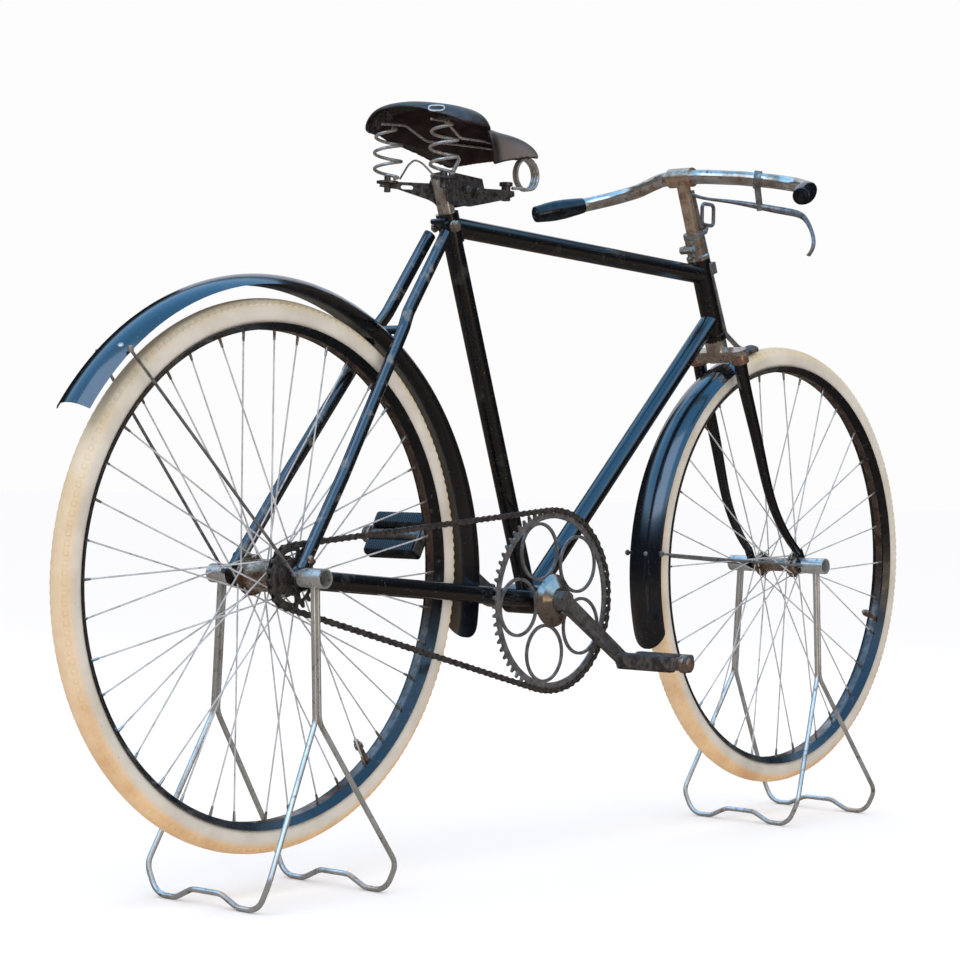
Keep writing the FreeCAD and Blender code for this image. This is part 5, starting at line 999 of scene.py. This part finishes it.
def oval_plate():
    """The open oval frame, made flat and then laid on the hide."""
    shape = bmesh.new()
    bmesh.ops.create_circle(shape, cap_ends=True, segments=40, radius=1)
    for vertex in shape.verts:
        for axis, half in enumerate(PLATE_HALF_MM):
            share = abs(vertex.co[axis]) ** PLATE_SQUARENESS
            vertex.co[axis] = math.copysign(share, vertex.co[axis]) * half * MM
    middle = bmesh.ops.inset_individual(shape, faces=shape.faces[:], thickness=1.9 * MM, depth=0)
    inner = [face for face in shape.faces if face not in middle["faces"]]
    bmesh.ops.delete(shape, geom=inner, context="FACES")
    bmesh.ops.solidify(shape, geom=shape.faces[:], thickness=1.2 * MM)
    bmesh.ops.recalc_face_normals(shape, faces=shape.faces)
    outward = Vector((-0.68, -0.48, 0.555)).normalized()
    along = Vector((0.579, -0.816, 0.01))
    along = (along - outward * along.dot(outward)).normalized()
    up = outward.cross(along)
    place = Vector(PLATE_AT_MM) * MM + outward * PLATE_LIFT_MM * MM
    turn = Matrix((along, up, outward)).transposed().to_4x4()
    bmesh.ops.transform(shape, matrix=Matrix.Translation(place) @ turn, verts=shape.verts)
    finish_piece("saddle_plate", shape, plate_nickel, "frame")


oval_plate()

# %% [markdown]
# Floor and light. The floor is a plain pale sheet, so that only the bicycle has colour. Gloss black
# shows nothing of its own but what it mirrors, so the surroundings decide how it looks. They are a
# ramp by height: brown ground below, a dark line of trees at eye level, a pale haze over it, and a
# blue sky above. The trees stand higher beyond the bicycle, so the height is lowered on that side.
# Only mirrored rays see the ramp. The even white light that soft surfaces get comes from a second
# background, and the camera sees a third, a plain near white. The floor is left out of the mirrored
# rays too, or every tube would show a white underside.

# %% Floor, lamps and surroundings
FLOOR_REACH_M = 60
floor_shape = bmesh.new()
bmesh.ops.create_grid(floor_shape, x_segments=1, y_segments=1, size=FLOOR_REACH_M)
floor_mesh = as_mesh("floor", floor_shape)
floor = placed("floor", floor_mesh)
floor_paper, tree, shader, place = new_material("floor_paper")
shader.inputs["Base Color"].default_value = linear("#fcfcfc")
shader.inputs["Roughness"].default_value = 0.9
shader.inputs["Specular IOR Level"].default_value = 0
floor_mesh.materials.append(floor_paper)
floor.visible_glossy = False

LAMPS = [
    ("sky_lamp", (-2.6, -1.2, 3.4), (0, 0, 0.6), 3.2, 45, "#dbe8ff"),
    ("side_lamp", (-1.0, -4.2, 0.9), (0, 0, 0.4), 1.6, 14, "#ffe4c4"),
    ("far_lamp", (2.6, 2.4, 2.6), (0, 0, 0.6), 2.6, 16, "#e6eeff"),
]
for name, place, aim, size, power, colour in LAMPS:
    lamp_data = bpy.data.lights.new(name, "AREA")
    lamp_data.size = size
    lamp_data.energy = power
    lamp_data.color = linear(colour)[:3]
    lamp = placed(name, lamp_data)
    lamp.location = place
    lamp.rotation_euler = (Vector(aim) - Vector(place)).to_track_quat("-Z", "Y").to_euler()

BEYOND = (0.76, 0.65, 0)
TREE_RISE = -0.6
world = bpy.data.worlds.new("studio")
bpy.context.scene.world = world
world.use_nodes = True
tree = world.node_tree
tree.nodes.clear()
around = add_node(tree, "ShaderNodeTexCoord").outputs["Generated"]
ray_height = axis_of(tree, around, "Z")
toward = add_node(tree, "ShaderNodeVectorMath", {"operation": "DOT_PRODUCT", 1: BEYOND}, {0: around})
trees = joined(tree, "MULTIPLY", joined(tree, "MAXIMUM", toward.outputs["Value"], 0.0), TREE_RISE)
lowered = joined(tree, "ADD", joined(tree, "MAXIMUM", ray_height, 0.0), trees)
sky_rise = joined(tree, "MAXIMUM", lowered, 0.0)
rise = joined(tree, "ADD", sky_rise, joined(tree, "MINIMUM", ray_height, 0.0))
height = between(tree, rise, -1, 1)
SURROUNDINGS = [
    (0.0, "#4f463e", 0.22), (0.4, "#75675a", 0.26), (0.465, "#3a3532", 0.22), (0.495, "#17181a", 0.18),
    (0.59, "#1c2126", 0.22), (0.65, "#5f86a8", 0.38), (0.71, "#9cc8ec", 0.78), (0.8, "#6cade6", 0.85),
    (1.0, "#549dd4", 0.8),
]
ramp = add_node(tree, "ShaderNodeValToRGB", {}, {0: height})
stops = ramp.color_ramp.elements
while len(stops) < len(SURROUNDINGS):
    stops.new(0.5)
for stop, (position, colour, share) in zip(stops, SURROUNDINGS):
    stop.position = position
    stop.color = [part * share for part in linear(colour)[:3]] + [1]
mirrored = add_node(tree, "ShaderNodeBackground", {"Strength": 2.6}, {"Color": ramp.outputs[0]})
even = add_node(tree, "ShaderNodeBackground", {"Color": linear("#fdfdff"), "Strength": 1.01})
plain = add_node(tree, "ShaderNodeBackground", {"Color": linear("#fdfdfd"), "Strength": 1.0})
rays = add_node(tree, "ShaderNodeLightPath").outputs
lit = add_node(tree, "ShaderNodeMixShader", {}, {0: rays["Is Glossy Ray"], 1: even.outputs[0],
                                                 2: mirrored.outputs[0]})
seen = add_node(tree, "ShaderNodeMixShader", {}, {0: rays["Is Camera Ray"], 1: lit.outputs[0],
                                                  2: plain.outputs[0]})
add_node(tree, "ShaderNodeOutputWorld", {}, {"Surface": seen.outputs[0]})
bpy.context.scene.view_settings.view_transform = "Standard"

# %% Pieces left without a finish
for name in sorted(set(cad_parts) - finished):
    print("stood for or still plain:", name)
